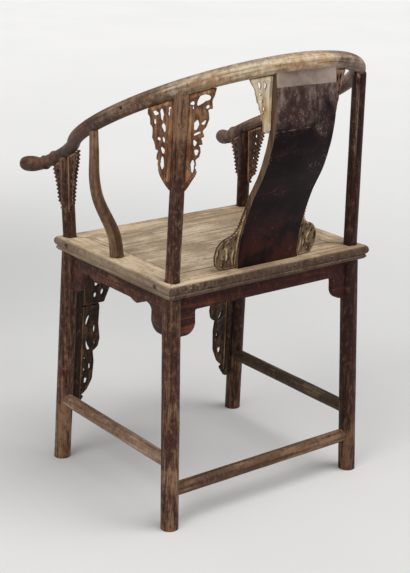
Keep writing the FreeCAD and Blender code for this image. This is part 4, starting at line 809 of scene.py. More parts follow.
def scarfCutter(middle, beforePiece, name):
    # What a scarf takes away, drawn over turn and level and bent along the rail
    half, cog, step = rail["scarfHalf"], rail["cog"], rail["cogHeight"]
    reach = 0.03
    sign = 1 if beforePiece else -1
    far = half + cog * 4
    outline = [(-half, reach), (-half, step), (-half - cog, step), (-half - cog, 0.0), (half + cog, 0.0),
               (half + cog, -step), (half, -step), (half, -reach), (far, -reach), (far, reach)]
    outline = [(middle + sign * turn, sign * level) for turn, level in outline]
    points = []
    for shift in (-reach, reach):
        for turn, level in outline:
            angle = math.radians(turn)
            spread = railAcross * math.sin(angle) + railAlong * math.cos(angle)
            points.append(railCentre + spread * (rail["radius"] + shift) + railNormal * level)
    size = len(outline)
    faces = [(index, (index + 1) % size, size + (index + 1) % size, size + index) for index in range(size)]
    flat = [Vector((math.radians(turn) * rail["radius"], level, 0.0)) for turn, level in outline]
    for triangle in tessellate_polygon([flat]):
        faces.append(tuple(triangle))
        faces.append(tuple(size + index for index in reversed(triangle)))
    return evenNormals(meshPiece(name, points, faces))


def cutAway(piece, cutters):
    name = piece.name
    for cutter in cutters:
        modifier = piece.modifiers.new("scarf", "BOOLEAN")
        modifier.operation = "DIFFERENCE"
        modifier.solver = "EXACT"
        modifier.object = cutter
    piece.name = name + "Blank"
    result = baked(piece, name)
    for cutter in cutters:
        bpy.data.objects.remove(cutter)
    return result


def railGrain(point):
    offset = point - railCentre
    u, w, n = abs(offset.dot(railAcross)), offset.dot(railAlong), offset.dot(railNormal)
    turn = math.degrees(math.atan2(u, w))
    if turn <= rail["arcTurn"] and offset.length < rail["radius"] + 0.05:
        run = math.radians(turn) * rail["radius"]
        outside = math.hypot(u, w) - rail["radius"]
    else:
        end = math.radians(rail["arcTurn"])
        bendU = (rail["radius"] + rail["endRadius"]) * math.sin(end)
        bendW = (rail["radius"] + rail["endRadius"]) * math.cos(end)
        angle = math.degrees(math.atan2(bendU - u, bendW - w))
        run = railRun(rail["arcTurn"]) + math.radians(rail["arcTurn"] - angle) * rail["endRadius"]
        outside = rail["endRadius"] - math.hypot(u - bendU, w - bendW)
    return (math.copysign(run, offset.x), outside, n)


def easedSeams(piece):
    work = bmesh.new()
    work.from_mesh(piece.data)
    bmesh.ops.remove_doubles(work, verts=work.verts, dist=1e-6)
    sharp = [edge for edge in work.edges if len(edge.link_faces) == 2
             and edge.calc_face_angle(0.0) > math.radians(50) and edge.calc_length() > 0.0004]
    bmesh.ops.bevel(work, geom=sharp, offset=rail["seam"], segments=1, affect="EDGES", clamp_overlap=True)
    work.to_mesh(piece.data)
    work.free()
    piece.data.shade_smooth()
    piece.data.set_sharp_from_angle(angle=math.radians(35))


def buildRail():
    backEnd = rail["backScarf"] + rail["scarfHalf"] + rail["cog"] + rail["spare"]
    back = turnedPiece("crestRailBackTurned", [railStations(-backEnd, backEnd)], "railWood", 44)
    cutters = [scarfCutter(rail["backScarf"], True, "scarfBack")]
    other = mirrorPiece(cutters[0], "scarfBackMirror")
    back = cutAway(back, cutters + [other])
    shoulderStart = rail["backScarf"] - rail["scarfHalf"] - rail["cog"] - rail["spare"]
    shoulderEnd = rail["armScarf"] + rail["scarfHalf"] + rail["cog"] + rail["spare"]
    shoulder = turnedPiece("crestRailShoulderTurned", [railStations(shoulderStart, shoulderEnd)], "railWood", 44)
    shoulder = cutAway(shoulder, [scarfCutter(rail["backScarf"], False, "scarfNear"),
                                  scarfCutter(rail["armScarf"], True, "scarfFar")])
    arm = turnedPiece("crestRailArmTurned", [armStations()], "railWood", 44)
    arm = cutAway(arm, [scarfCutter(rail["armScarf"], False, "scarfArm")])
    for piece in (back, shoulder, arm):
        easedSeams(piece)
    pieces = [(back, "railWood", "crest_rail_back")]
    for piece, finish, label in ((shoulder, "railWood", "crest_rail_shoulder"), (arm, "railWood", "crest_rail_arm")):
        pieces.append((mirrorPiece(piece, piece.name + "Right"), finish, label + "_right"))
        piece.name += "Left"
        pieces.append((piece, finish, label + "_left"))
    for piece, finish, label in pieces:
        setGrainPlace(piece, railGrain)
        handOver(piece, finish, label)


buildRail()
print("crest rail turned and scarfed")


# Legs that run on as posts, side posts and stretchers

legs = {
    "seatReach": 0.2327,
    "splaySide": 0.0107,
    "splayDepth": 0.0236,
    "depths": {"rear": 0.1755, "front": -0.183},
    "postTurns": {"rear": 47.5, "front": 139.5},
    "postOutsets": {"rear": 0.004, "front": 0.0},
    "postDrops": {"rear": 0.002, "front": 0.006},
    "dome": 0.011,  # how far down a post's rounded top reaches
    "seatTop": 0.515,
    "seatUnder": 0.484,
    "legHalf": 0.0185,
    "postHalf": 0.0145,
    "setback": 0.018,
    "wobble": 0.0005,
    "seeds": {"rear": (7.0, 5.0), "front": (2.0, 9.0)},
}


def legSpot(kind, level):
    drop = (legs["seatTop"] - level) / legs["seatTop"]
    depth = legs["depths"][kind]
    lean = math.copysign(legs["splayDepth"], depth) * drop
    return Vector((legs["seatReach"] + legs["splaySide"] * drop, depth + legs["setback"] + lean, level))


def postTop(kind):  # where the post's line ends at the rail
    turn = legs["postTurns"][kind]
    away = railAcross * math.sin(math.radians(turn)) + railAlong * math.cos(math.radians(turn))
    return railSpot(turn)[0] + away * legs["postOutsets"][kind]


def postSpot(kind, level):
    foot = legSpot(kind, legs["seatUnder"])
    top = postTop(kind)
    share = (level - foot.z) / (top.z - foot.z)
    return foot + (top - foot) * share


def buildLeg(kind):
    under = legs["seatUnder"]
    top = postTop(kind).z
    stations = []
    legSeed, postSeed = legs["seeds"][kind]
    for index in range(31):
        level = under * index / 30
        girth = legs["legHalf"] - unevenness(legs["wobble"], Vector((legSeed, 0.0, level * 12)))
        stations.append((legSpot(kind, level), girth))
    low = under + 0.001
    high = top - legs["postDrops"][kind] - legs["dome"]
    for index in range(21):
        level = low + (high - low) * index / 20
        girth = legs["postHalf"] - unevenness(legs["wobble"], Vector((postSeed, 0.0, level * 12)))
        stations.append((postSpot(kind, level), girth))
    for index in range(1, 9):
        angle = math.radians(index * 10.5)
        stations.append((postSpot(kind, high + legs["dome"] * math.sin(angle)), girth * math.cos(angle)))
    left = turnedPiece(f"{kind}LegTurnedLeft", [stations], "legWood", 40)
    for vertex in left.data.vertices:  # the foot stands flat on the floor
        if vertex.co.z < 0.0012:
            vertex.co.z = 0.0
    left.data.set_sharp_from_angle(angle=math.radians(50))
    # the right-hand legs take the darker copy of the wood: painted shade
    handPair(left, "legWood", "legShadedWood", f"{kind}_leg")


sidePost = {
    "turn": 89.5,  # where it meets the rail, from the back
    "footReach": 0.231,
    "footDepth": 0.004,
    "shares": ((0.0, 0.0), (0.10, 0.06), (0.17, 0.14), (0.24, 0.27), (0.31, 0.43), (0.38, 0.59), (0.45, 0.73),
               (0.53, 0.84), (0.64, 0.92), (0.80, 0.95), (1.0, 1.0)),
    "footHalf": 0.0146,
    "topHalf": 0.0086,
    "topDrop": 0.004,
    "wobble": 0.0004,
}


def eased(table, share):  # a smooth curve through a table of shares
    for index in range(len(table) - 1):
        (x0, y0), (x1, y1) = table[index], table[index + 1]
        if share <= x1:
            before = table[max(0, index - 1)]
            after = table[min(len(table) - 1, index + 2)]
            m0 = (y1 - before[1]) / max(1e-6, x1 - before[0])
            m1 = (after[1] - y0) / max(1e-6, after[0] - x0)
            t = (share - x0) / (x1 - x0)
            h = x1 - x0
            return ((2 * t ** 3 - 3 * t ** 2 + 1) * y0 + (t ** 3 - 2 * t ** 2 + t) * h * m0
                    + (-2 * t ** 3 + 3 * t ** 2) * y1 + (t ** 3 - t ** 2) * h * m1)
    return table[-1][1]


def buildSidePost():
    top = railSpot(sidePost["turn"])[0]
    low = legs["seatTop"]
    high = top.z - sidePost["topDrop"]
    stations = []
    for index in range(49):
        share = index / 48
        level = low + (high - low) * share
        x = sidePost["footReach"] + (top.x - sidePost["footReach"]) * eased(sidePost["shares"], share)
        y = sidePost["footDepth"] + (top.y - sidePost["footDepth"]) * share
        girth = sidePost["footHalf"] + (sidePost["topHalf"] - sidePost["footHalf"]) * share
        girth -= unevenness(sidePost["wobble"], Vector((3.0, 1.0, level * 14)))
        stations.append((Vector((x, y, level)), girth))
    left = turnedPiece("sidePostBentLeft", [stations], "sidePostWood", 36)

    def grain(point):
        place = min(stations, key=lambda item: abs(item[0].z - point.z))[0]
        return (point.z, point.x - place.x, point.y - place.y)

    setGrainPlace(left, grain)
    right = mirrorPiece(left, "sidePostBentRight")
    setGrainPlace(right, lambda point: grain(Vector((-point.x, point.y, point.z))))
    handOver(left, "sidePostWood", "side_post_left")
    handOver(right, "sidePostWood", "side_post_right")


stretcher = {"sideLevel": 0.141, "rearLevel": 0.081, "half": 0.015, "widthShare": 26 / 30, "wobble": 0.0006}


def stretcherStations(start, end, shift):
    stations = []
    for index in range(25):
        place = start + (end - start) * (index / 24)
        stations.append((place, stretcher["half"] - unevenness(stretcher["wobble"], place * 14.0 + shift)))
    return stations


def buildStretchers():
    front, rear = (legSpot(kind, stretcher["sideLevel"]) for kind in ("front", "rear"))
    stations = stretcherStations(front, rear, Vector())
    left = turnedPiece("stretcherPlanedLeft", [stations], "sideStretcherWood", 32, stretcher["widthShare"])
    # the right-hand stretcher takes the darker copy: painted shade
    handPair(left, "sideStretcherWood", "innerStretcherShadedWood", "stretcher")
    corner = legSpot("rear", stretcher["rearLevel"])
    stations = stretcherStations(corner, Vector((-corner.x, corner.y, corner.z)), Vector((0, 4.0, 0)))
    back = turnedPiece("stretcherPlanedRear", [stations], "rearStretcherWood", 32, stretcher["widthShare"])
    handOver(back, "rearStretcherWood", "stretcher_rear")


buildLeg("rear")
buildLeg("front")
buildSidePost()
buildStretchers()
print("legs, posts and stretchers turned")


# Seat, aprons and front battens: eased and worn copies of the CAD pieces; the scarf pins keep their CAD shape and get a
# finish

planed = {
    # node: finish, slot, bevel, step between cuts, axis of the cuts, wear
    "seat_frame_front": ("seatLongWood", "seat_wood", 0.0005, 0.011, 0, 0.0011),
    "seat_frame_rear": ("seatLongWood", "seat_wood", 0.0005, 0.011, 0, 0.0011),
    "seat_frame_side_left": ("seatShortWood", "seat_wood", 0.0005, 0.011, 1, 0.0011),
    "seat_frame_side_right": ("seatShortWood", "seat_wood", 0.0005, 0.011, 1, 0.0011),
    "seat_panel": ("seatPanelWood", "seat_wood", 0.0003, 0.0, 0, 0.0),
    "seat_batten_left": ("battenWood", "batten_wood", 0.0008, 0.0, 0, 0.0),
    "seat_batten_right": ("battenWood", "batten_wood", 0.0008, 0.0, 0, 0.0),
    "apron_left": ("apronWood", "apron_wood", 0.0012, 0.0, 1, 0.0),
    "apron_right": ("apronWood", "apron_wood", 0.0012, 0.0, 1, 0.0),
    "apron_rear": ("rearApronWood", "apron_wood", 0.0012, 0.0, 0, 0.0),
    "front_batten_left": ("frontCarving", "front_carving", 0.001, 0.0, 2, 0.0),
    "front_batten_right": ("frontCarving", "front_carving", 0.001, 0.0, 2, 0.0),
}


def camel(node):
    words = node.split("_")
    return words[0] + "".join(word.capitalize() for word in words[1:])


tenonEnds = {
    "reach": 0.25,  # the tenons' ends lie beyond this distance to the side
    "rim": 0.255,  # and the mortises' rims beyond this one
    "under": 0.493,
    "near": 0.151,  # least and largest distance from the seat's middle line
    "far": 0.166,
    "sunk": 0.0002,
}
shortened = {"span": 0.1, "lift": 0.022}  # the left front panel and batten end higher than the right ones


def closeTenons(piece):
    # Carries the through tenons, planed flush, to the rims of the side members' mortises
    def aside(place):
        return abs(place.y - legs["setback"])

    rims = [vertex.co for vertex in nodes["seat_frame_side_left"].data.vertices
            if vertex.co.x > tenonEnds["rim"] and tenonEnds["near"] < aside(vertex.co) < tenonEnds["far"]
            and vertex.co.z > tenonEnds["under"]]
    for vertex in piece.data.vertices:
        place = vertex.co
        if abs(place.x) > tenonEnds["reach"] and tenonEnds["near"] < aside(place) < tenonEnds["far"]:
            rim = min(rims, key=lambda spot: abs(spot.z - place.z) + abs(aside(spot) - aside(place)))
            place.x = math.copysign(max(abs(place.x), rim.x - tenonEnds["sunk"]), place.x)


def liftFoot(piece):  # shortens a piece from below, to where it ends in the photo
    low = min(vertex.co.z for vertex in piece.data.vertices)
    for vertex in piece.data.vertices:
        vertex.co.z += shortened["lift"] * max(0.0, 1 - (vertex.co.z - low) / shortened["span"])


for seed, (node, (finish, slot, bevel, step, axis, worn)) in enumerate(planed.items()):
    piece = softened(node, camel(node) + "Planed", bevel, step, axis, worn, seed * 1.3)
    if finish == "seatLongWood":
        closeTenons(piece)
    if node == "front_batten_left":
        liftFoot(piece)
    handOver(piece, finish, node)
nodes["rail_scarf_pins"].data.materials.clear()
nodes["rail_scarf_pins"].data.materials.append(finishes["pinWood"])
print("seat and aprons eased")


# Splat: an S-shaped board with rounded edges

splat = {
    "footHalfWidth": 0.0785,
    "topHalfWidth": 0.0745,
    "thickness": 0.018,
    "low": 0.515,
    "high": 0.922,
    "height": 0.413,  # from the seat to where the top width is measured
    "edgeRound": 0.0028,
    # height above the seat and depth of the back face
    "backFace": ((0.0, 0.203), (0.015, 0.2015), (0.038, 0.2047), (0.060, 0.2085), (0.106, 0.2237), (0.150, 0.2415),
                 (0.165, 0.2498), (0.201, 0.269), (0.243, 0.284), (0.270, 0.291), (0.310, 0.2965), (0.360, 0.2945),
                 (0.413, 0.288)),
}


def splatHalfWidth(level):
    share = (level - splat["low"]) / splat["height"]
    return splat["footHalfWidth"] + (splat["topHalfWidth"] - splat["footHalfWidth"]) * share


def splatBack(level):
    height = level - splat["low"]
    table = [(h / splat["height"], y) for h, y in splat["backFace"]]
    return eased(table, max(0.0, min(1.0, height / splat["height"])))


def buildSplat():
    points = []
    faces = []
    rows = 90
    half = splat["thickness"] / 2
    ring = []
    bend = splat["edgeRound"]
    for signX, signY, start in ((1, 1, 0), (-1, 1, 90), (-1, -1, 180), (1, -1, 270)):
        for index in range(4):
            angle = math.radians(start + index * 30)
            ring.append((signX, signY, math.cos(angle) * bend, math.sin(angle) * bend))
    for row in range(rows + 1):
        level = splat["low"] + (splat["high"] - splat["low"]) * row / rows
        halfWidth = splatHalfWidth(level)
        middle = splatBack(level) - half
        for signX, signY, dx, dy in ring:
            points.append((signX * (halfWidth - bend) + dx, middle + signY * (half - bend) + dy, level))
    size = len(ring)
    for row in range(rows):
        for index in range(size):
            after = (index + 1) % size
            faces.append((row * size + index, row * size + after, (row + 1) * size + after, (row + 1) * size + index))
    faces.append(tuple(reversed(range(size))))
    faces.append(tuple(rows * size + index for index in range(size)))
    board = meshPiece("splatBoard", points, faces)
    outward(board)
    board.data.shade_smooth()
    board.data.set_sharp_from_angle(angle=math.radians(50))
    handOver(board, "splatLacquer", "splat")


buildSplat()
print("splat shaped")


# Carving: pierced plates with raised margins, rims, stems and beads, joined by remeshing and bent into place

# how far plates reach into the rail, and where they begin beside a post's centre line
plateEdge = {"sunk": 0.0008, "postSide": 0.0132}
carving = {
    "cell": 0.00095,  # size of the remeshed faces
    "flat": 1.7,  # how far stems are raised before they are levelled with the margins
    "ground": 0.66,  # thickness of the sunken ground against the margins
    "lip": 0.0011,  # half width of the raised edge about a hole
    "stemStep": 0.0016,
}


def placed(points, spot):  # two numbers that spot turns into a place and, for a corner that stays sharp, a third
    return [(spot(point[0], point[1]), len(point) > 2) for point in points]


def rounded(points, passes=2):
    # Takes the corners off a closed outline, apart from the sharp ones
    ring = points
    for step in range(passes):
        softer = []
        for index, (place, sharp) in enumerate(ring):
            if sharp:
                softer.append((place, True))
            else:
                softer.append((place.lerp(ring[index - 1][0], 0.25), False))
                softer.append((place.lerp(ring[(index + 1) % len(ring)][0], 0.25), False))
        ring = softer
    return [place for place, sharp in ring]


def openings(table, spot):
    return [rounded(placed(hole, spot)) for hole in table]


def widened(loop, factor, ragged):  # opens a hole wider, with an uneven rim as a knife leaves it
    middle = sum(loop, Vector()) / len(loop)
    widenedLoop = []
    for place in loop:
        out = place - middle
        turn = math.atan2(out.y, out.x) * 3 + middle.x * 400 + middle.y * 900
        widenedLoop.append(middle + out * (factor + ragged * math.sin(turn)))
    return widenedLoop


def slab(name, outline, holes, half):  # a flat plate with holes
    loops = [outline] + holes
    points = [place for loop in loops for place in loop]
    total = len(points)
    places = [(place.x, place.y, half) for place in points] + [(place.x, place.y, -half) for place in points]
    faces = []
    for a, b, c in tessellate_polygon(loops):
        faces += [(a, b, c), (total + c, total + b, total + a)]
    first = 0
    for loop in loops:
        for index in range(len(loop)):
            after = (index + 1) % len(loop)
            faces.append((first + index, first + after, total + first + after, total + first + index))
        first += len(loop)
    return evenNormals(meshPiece(name, places, faces))


def within(place, loop):  # whether a point lies inside a closed outline
    inside = False
    for index, corner in enumerate(loop):
        before = loop[index - 1]
        if (corner.y > place.y) != (before.y > place.y):
            if place.x < (before.x - corner.x) * (place.y - corner.y) / (before.y - corner.y) + corner.x:
                inside = not inside
    return inside


def finer(stroke):
    spots = [stroke[0]]
    for (before, lowHalf), (after, highHalf) in zip(stroke, stroke[1:]):
        count = max(1, math.ceil((after - before).length / carving["stemStep"]))
        for index in range(1, count + 1):
            share = index / count
            spots.append((before.lerp(after, share), lowHalf + (highHalf - lowHalf) * share))
    return spots


def besideHoles(strokes, holes):
    # The stretches of the stems that stay clear of every hole
    kept = []
    for stroke in strokes:
        run = []
        for place, half in finer(stroke):
            near = any(within(place, hole) or min((place - corner).length for corner in hole) < half * 0.7
                       for hole in holes)
            if near:
                if len(run) > 1:
                    kept.append(run)
                run = []
            else:
                run.append((place, half))
        if len(run) > 1:
            kept.append(run)
    return kept


def lips(holes, half):  # a raised edge about every hole
    strokes = []
    for hole in holes:
        middle = sum(hole, Vector()) / len(hole)
        ring = [(place + (place - middle).normalized() * half * 1.1, half) for place in hole]
        strokes.append(ring + ring[:1])
    return strokes


def curl(centre, reachAlong, reachAcross, along, across, start, sweep, half, endShare=0.22):
    # A spiral that shrinks toward its centre, on an ellipse set along a line
    count = max(10, int(abs(sweep) / 14))
    stroke = []
    for index in range(count + 1):
        share = index / count
        angle = math.radians(start + sweep * share)
        shrink = 1 - (1 - endShare) * share ** 0.8
        place = centre + along * (math.cos(angle) * reachAlong * shrink)
        place += across * (math.sin(angle) * reachAcross * shrink)
        stroke.append((place, half * (1 - 0.35 * share)))
    return stroke


def scrollChain(inner, outer, half, tightness=0.95, flip=1):
    # Scrolls that turn by turn lean on one and the other of two edge lines
    strokes = []
    lengths = [0.0]
    middles = [(a + b) / 2 for a, b in zip(inner, outer)]
    for before, after in zip(middles, middles[1:]):
        lengths.append(lengths[-1] + (after - before).length)

    def at(distance):
        distance = min(max(distance, 0.0), lengths[-1])
        for index in range(len(lengths) - 1):
            if distance <= lengths[index + 1]:
                share = (distance - lengths[index]) / max(1e-9, lengths[index + 1] - lengths[index])
                return inner[index].lerp(inner[index + 1], share), outer[index].lerp(outer[index + 1], share)
        return inner[-1], outer[-1]

    distance = 0.0
    side = flip
    while distance < lengths[-1] - half:
        a, b = at(distance)
        bay = max((b - a).length * tightness, half * 3.2)
        bay = min(bay, lengths[-1] - distance + half)
        a, b = at(distance + bay / 2)
        centre = (a + b) / 2
        across = (b - a) / 2
        reach = max(across.length - half * 0.4, half)
        across.normalize()
        first = sum(at(distance), Vector()) / 2
        last = sum(at(distance + bay), Vector()) / 2
        along = last - first
        reachAlong = along.length / 2
        along.normalize()
        strokes.append(curl(centre, reachAlong, reach * side, along, across, 180, -520, half))
        strokes.append([(centre, half * 1.15), (centre + along * 0.0004, half * 1.15)])
        tip = centre + across * (reach * side) + along * (reachAlong * 0.9)
        strokes.append([(last, half * 0.9), ((last + tip) / 2 + across * (half * side), half * 0.8), (tip, half * 0.5)])
        distance += bay
        side = -side
    return strokes


def carved(name, outline, holes, margins, stems, beads, placer, thickness, ground=None):
    # outline and holes: closed lines; margins and stems: lines of places and half widths;
    # beads: lines of places with a bead radius and a step
    limit = thickness / 2
    parts = [slab(name + "Ground", outline, holes, limit * (ground or carving["ground"]))]
    strokes = margins + besideHoles(stems, holes) + lips(holes, carving["lip"])
    line = lineObject(name + "StemLine", strokes)
    parts.append(shapedBy(turnedBar, line, name + "Stems",
                          {"Sides": 10, "Width Share": 1.0, "Finish": finishes["tanCarving"]}))
    for number, (line, radius, step) in enumerate(beads):
        holder = lineObject(f"{name}BeadLine{number}", [[(place, radius) for place in line]])
        parts.append(shapedBy(beadRow, holder, f"{name}Beads{number}",
                              {"Bead Radius": radius, "Step": step, "Finish": finishes["tanCarving"]}))
    work = bmesh.new()
    for index, part in enumerate(parts):
        before = len(work.verts)
        work.from_mesh(part.data)
        work.verts.ensure_lookup_table()
        if index > 0:
            for vertex in work.verts[before:]:
                vertex.co.z = max(-limit, min(limit, vertex.co.z * carving["flat"]))
        bpy.data.objects.remove(part)
    mesh = bpy.data.meshes.new(name + "Union")
    work.to_mesh(mesh)
    work.free()
    union = link(bpy.data.objects.new(name + "Union", mesh))
    remesh = union.modifiers.new("joined", "REMESH")
    remesh.mode = "VOXEL"
    remesh.voxel_size = carving["cell"]
    smooth = union.modifiers.new("rubbed", "SMOOTH")
    smooth.factor = 0.5
    smooth.iterations = 2
    piece = baked(union, name)
    relief = piece.data.attributes.new("relief", "FLOAT", "POINT")
    for vertex in piece.data.vertices:
        relief.data[vertex.index].value = min(1.0, abs(vertex.co.z) / limit)
    for vertex in piece.data.vertices:
        vertex.co = placer(vertex.co)
    piece.data.shade_smooth()
    outward(piece)
    return piece


def walk(points, count):  # evenly spaced points along a broken line
    lengths = [0.0]
    for before, after in zip(points, points[1:]):
        lengths.append(lengths[-1] + (after - before).length)
    spots = []
    for index in range(count + 1):
        distance = lengths[-1] * index / count
        for place in range(len(points) - 1):
            if distance <= lengths[place + 1] + 1e-9:
                share = (distance - lengths[place]) / max(1e-9, lengths[place + 1] - lengths[place])
                spots.append(points[place].lerp(points[place + 1], share))
                break
    return spots


def edgeAt(table, down):
    for (a0, d0), (a1, d1) in zip(table, table[1:]):
        if down <= d1:
            return a0 + (a1 - a0) * (down - d0) / (d1 - d0)
    return table[-1][0]


def railUnder(heading, spot, across):
    # Level of the rail's underside over a point of the bracket's plane
    best = None
    goal = spot + heading * across
    for step in range(0, 327):
        turn = step / 2
        place = railSpot(turn)[0]
        gap = (place.x - goal.x) ** 2 + (place.y - goal.y) ** 2
        if best is None or gap < best[0]:
            best = (gap, place.z - railHalfWidth(turn) * 1.05)
    return best[1]


def underRail(heading, origin, start, end, steps, count):  # an upper edge that follows the rail's underside
    places = []
    for step in steps:
        across = start + (end - start) * step / count
        places.append(Vector((across, railUnder(heading, origin, across) + plateEdge["sunk"], 0.0)))
    return places


def leafyRim(edge, half, inset):  # a raised rim inside an outer edge
    spots = [place for place, sharp in edge]
    stroke = []
    for index, place in enumerate(spots):
        before = spots[max(0, index - 1)]
        after = spots[min(len(spots) - 1, index + 1)]
        side = (after - before).cross(Vector((0, 0, 1))).normalized()
        stroke.append((place + side * inset, half))
    return stroke


# Leafy brackets beside the rear posts: millimetres from the post's centre line and above the foot

rearBrackets = {
    "arm": {
        "edge": ((63.0, 156), (62.5, 146), (58.0, 141), (57.0, 127, 1), (52.5, 122), (52.0, 112), (52.5, 101),
                 (48.0, 94), (45.0, 79, 1), (39.0, 78), (42.0, 70), (42.5, 60, 1), (35.5, 58), (37.0, 52), (38.5, 47),
                 (38.0, 38), (34.5, 28), (26.0, 14), (17.0, 2.5), (14.5, 0.8)),
        "holes": (
            ((53.0, 150, 1), (47.0, 153), (42.5, 150), (44.0, 145), (49.5, 145)),
            ((36.0, 158, 1), (39.0, 151), (37.0, 141), (34.0, 134, 1), (32.5, 144), (32.8, 153)),
            ((23.0, 160), (23.0, 149), (20.5, 139, 1), (16.8, 148), (16.8, 160)),
            ((48.6, 138, 1), (50.4, 132), (48.0, 125, 1), (45.8, 132)),
            ((33.8, 132, 1), (34.6, 122), (30.0, 114, 1), (27.4, 120), (28.8, 127)),
            ((41.5, 103), (42.0, 98), (37.0, 96, 1), (36.6, 102.5)),
            ((31.2, 105, 1), (32.8, 98), (29.0, 93, 1), (27.4, 99)),
            ((33.0, 85, 1), (34.4, 78), (31.0, 71, 1), (27.6, 74), (28.2, 81)),
            ((31.5, 66, 1), (33.8, 58), (34.4, 50), (31.5, 39, 1), (28.2, 44), (28.0, 58)),
        ),
        "stems": (((42, 140), (40, 128), (42, 112), (36, 108)), ((46, 120), (44, 108), (46, 92), (38, 88)),
                  ((26, 132), (24, 118), (27, 106), (24, 92)), ((38, 72), (37, 62), (38, 50), (33, 34)),
                  ((24, 84), (25, 70), (24, 54), (26, 36), (22, 22))),
    },
    "back": {
        "edge": ((63.0, 197), (60.0, 183), (55.6, 173), (57.8, 159, 1), (48.5, 157), (51.0, 149), (52.4, 139),
                 (47.5, 124), (40.5, 116), (45.0, 106, 1), (38.0, 103), (42.8, 91, 1), (33.5, 90.5), (38.0, 84),
                 (39.8, 77), (37.5, 67), (30.5, 61.5), (33.0, 52), (29.0, 45), (34.8, 38), (31.5, 29), (26.0, 20),
                 (19.5, 8), (14.6, 0.8)),
        "holes": (
            ((50.5, 182), (49.5, 175), (41.0, 171), (32.0, 166, 1), (30.5, 176), (36.0, 183), (44.0, 185)),
            ((22.5, 171), (23.0, 160), (20.0, 154, 1), (16.8, 158), (16.8, 170)),
            ((50.4, 166, 1), (51.2, 161), (48.0, 157.8), (44.6, 161)),
            ((31.5, 138, 1), (33.6, 131), (32.0, 121), (26.0, 119), (25.6, 130)),
            ((37.4, 131, 1), (43.0, 134), (46.4, 140), (45.5, 131), (41.0, 127.5)),
            ((38.5, 112.5, 1), (30.0, 108.5), (24.6, 105.5, 1), (26.6, 110.5), (33.0, 114.5)),
            ((26.2, 99, 1), (32.2, 95), (28.5, 87, 1), (25.6, 92)),
            ((34.0, 81), (35.8, 75.5), (32.0, 70), (28.2, 74.5), (29.6, 81)),
            ((26.0, 64, 1), (28.6, 56), (28.8, 46), (26.0, 37, 1), (23.2, 46), (23.2, 56)),
        ),
        "stems": (((26, 150), (36, 158), (46, 152), (47, 140)), ((38, 144), (36, 128), (42, 118)),
                  ((24, 114), (36, 104), (40, 96)), ((24, 84), (27, 82), (37, 86), (37.5, 76), (34, 66)),
                  ((31, 66), (27.5, 68), (24, 74)), ((31, 44), (31, 34), (26, 26), (20, 14))),
    },
}
bracketLook = {"margin": 0.0040, "stem": 0.0021, "rim": 0.0016, "rimInset": 0.0013, "thickness": 0.0088,
               "foot": 0.692, "level": 0.790, "topStart": 0.0135, "width": 0.064, "opening": 1.2, "ragged": 0.17}


def uprightPlate(origin, bearing):  # a plate's direction, and what carries its points there
    direction = Vector((math.cos(bearing), math.sin(bearing), 0.0))
    square = Vector((-math.sin(bearing), math.cos(bearing), 0.0))

    def placer(point):
        return origin + direction * point.x + square * point.z + Vector((0, 0, point.y))

    return direction, placer


def bracketPlane(kind, bearing, level):
    spot = postSpot(kind, level)
    origin = Vector((spot.x, spot.y, 0.0))
    direction, placer = uprightPlate(origin, bearing)

    def lean(height):  # how far the post's centre line has moved along the plate
        return (postSpot(kind, height) - spot).dot(direction)

    return direction, origin, lean, placer


def rearBearing(side):
    sign = 1 if side == "arm" else -1
    halfTurn = math.degrees(math.asin(bracketLook["width"] / rail["radius"] / 2))
    angle = math.radians(legs["postTurns"]["rear"] + sign * halfTurn)
    plain = math.atan(math.sin(angle) * math.cos(math.radians(rail["tilt"])) / math.cos(angle))
    return -plain if side == "arm" else math.pi - plain


def buildRearBracket(side):
    look = rearBrackets[side]
    foot = bracketLook["foot"]
    direction, origin, lean, placer = bracketPlane("rear", rearBearing(side), bracketLook["level"])
    outerTop = railUnder(direction, origin, look["edge"][0][0] / 1000)
    stretch = (outerTop - foot) / (look["edge"][0][1] / 1000)

    def spot(across, up):
        place = Vector((across / 1000, up / 1000, 0.0))
        level = foot + place.y * stretch
        return Vector((place.x + lean(level), level, 0.0))

    edge = placed(look["edge"], spot)
    holes = [widened(hole, bracketLook["opening"], bracketLook["ragged"]) for hole in openings(look["holes"], spot)]
    topStart = bracketLook["topStart"]
    innerTop = railUnder(direction, origin, topStart)
    inner = []
    for index in range(11):
        level = foot + plateEdge["sunk"] + (innerTop - foot) * index / 10
        inner.append((Vector((lean(level) + plateEdge["postSide"], level, 0.0)), True))
    top = [(place, True) for place in underRail(direction, origin, topStart, edge[0][0].x, range(1, 9), 9)]
    outline = rounded(inner + top + edge)
    half = bracketLook["margin"]
    margins = [[(place + Vector((half, 0, 0)), half) for place, sharp in inner[1:-1]],
               [(place + Vector((0, -half, 0)), half) for place, sharp in top]]
    stems = [[(place, bracketLook["stem"]) for place in walk([spot(*point) for point in line], 14)]
             for line in look["stems"]]
    stems.append([(place, bracketLook["rim"]) for place, half in leafyRim(edge, 0, bracketLook["rimInset"])])
    left = carved(f"rearBracket{side.capitalize()}SideCarvedLeft", outline, holes, margins, stems, [], placer,
                  bracketLook["thickness"])
    # the right-hand copy takes the darker finish as painted shade
    handPair(left, "tanCarving", "darkAndShadedCarving", f"rear_bracket_{side}_side")


buildRearBracket("arm")
buildRearBracket("back")
print("rear brackets carved")


# Dense dark brackets beside the front posts, with beaded edges and a column of small holes

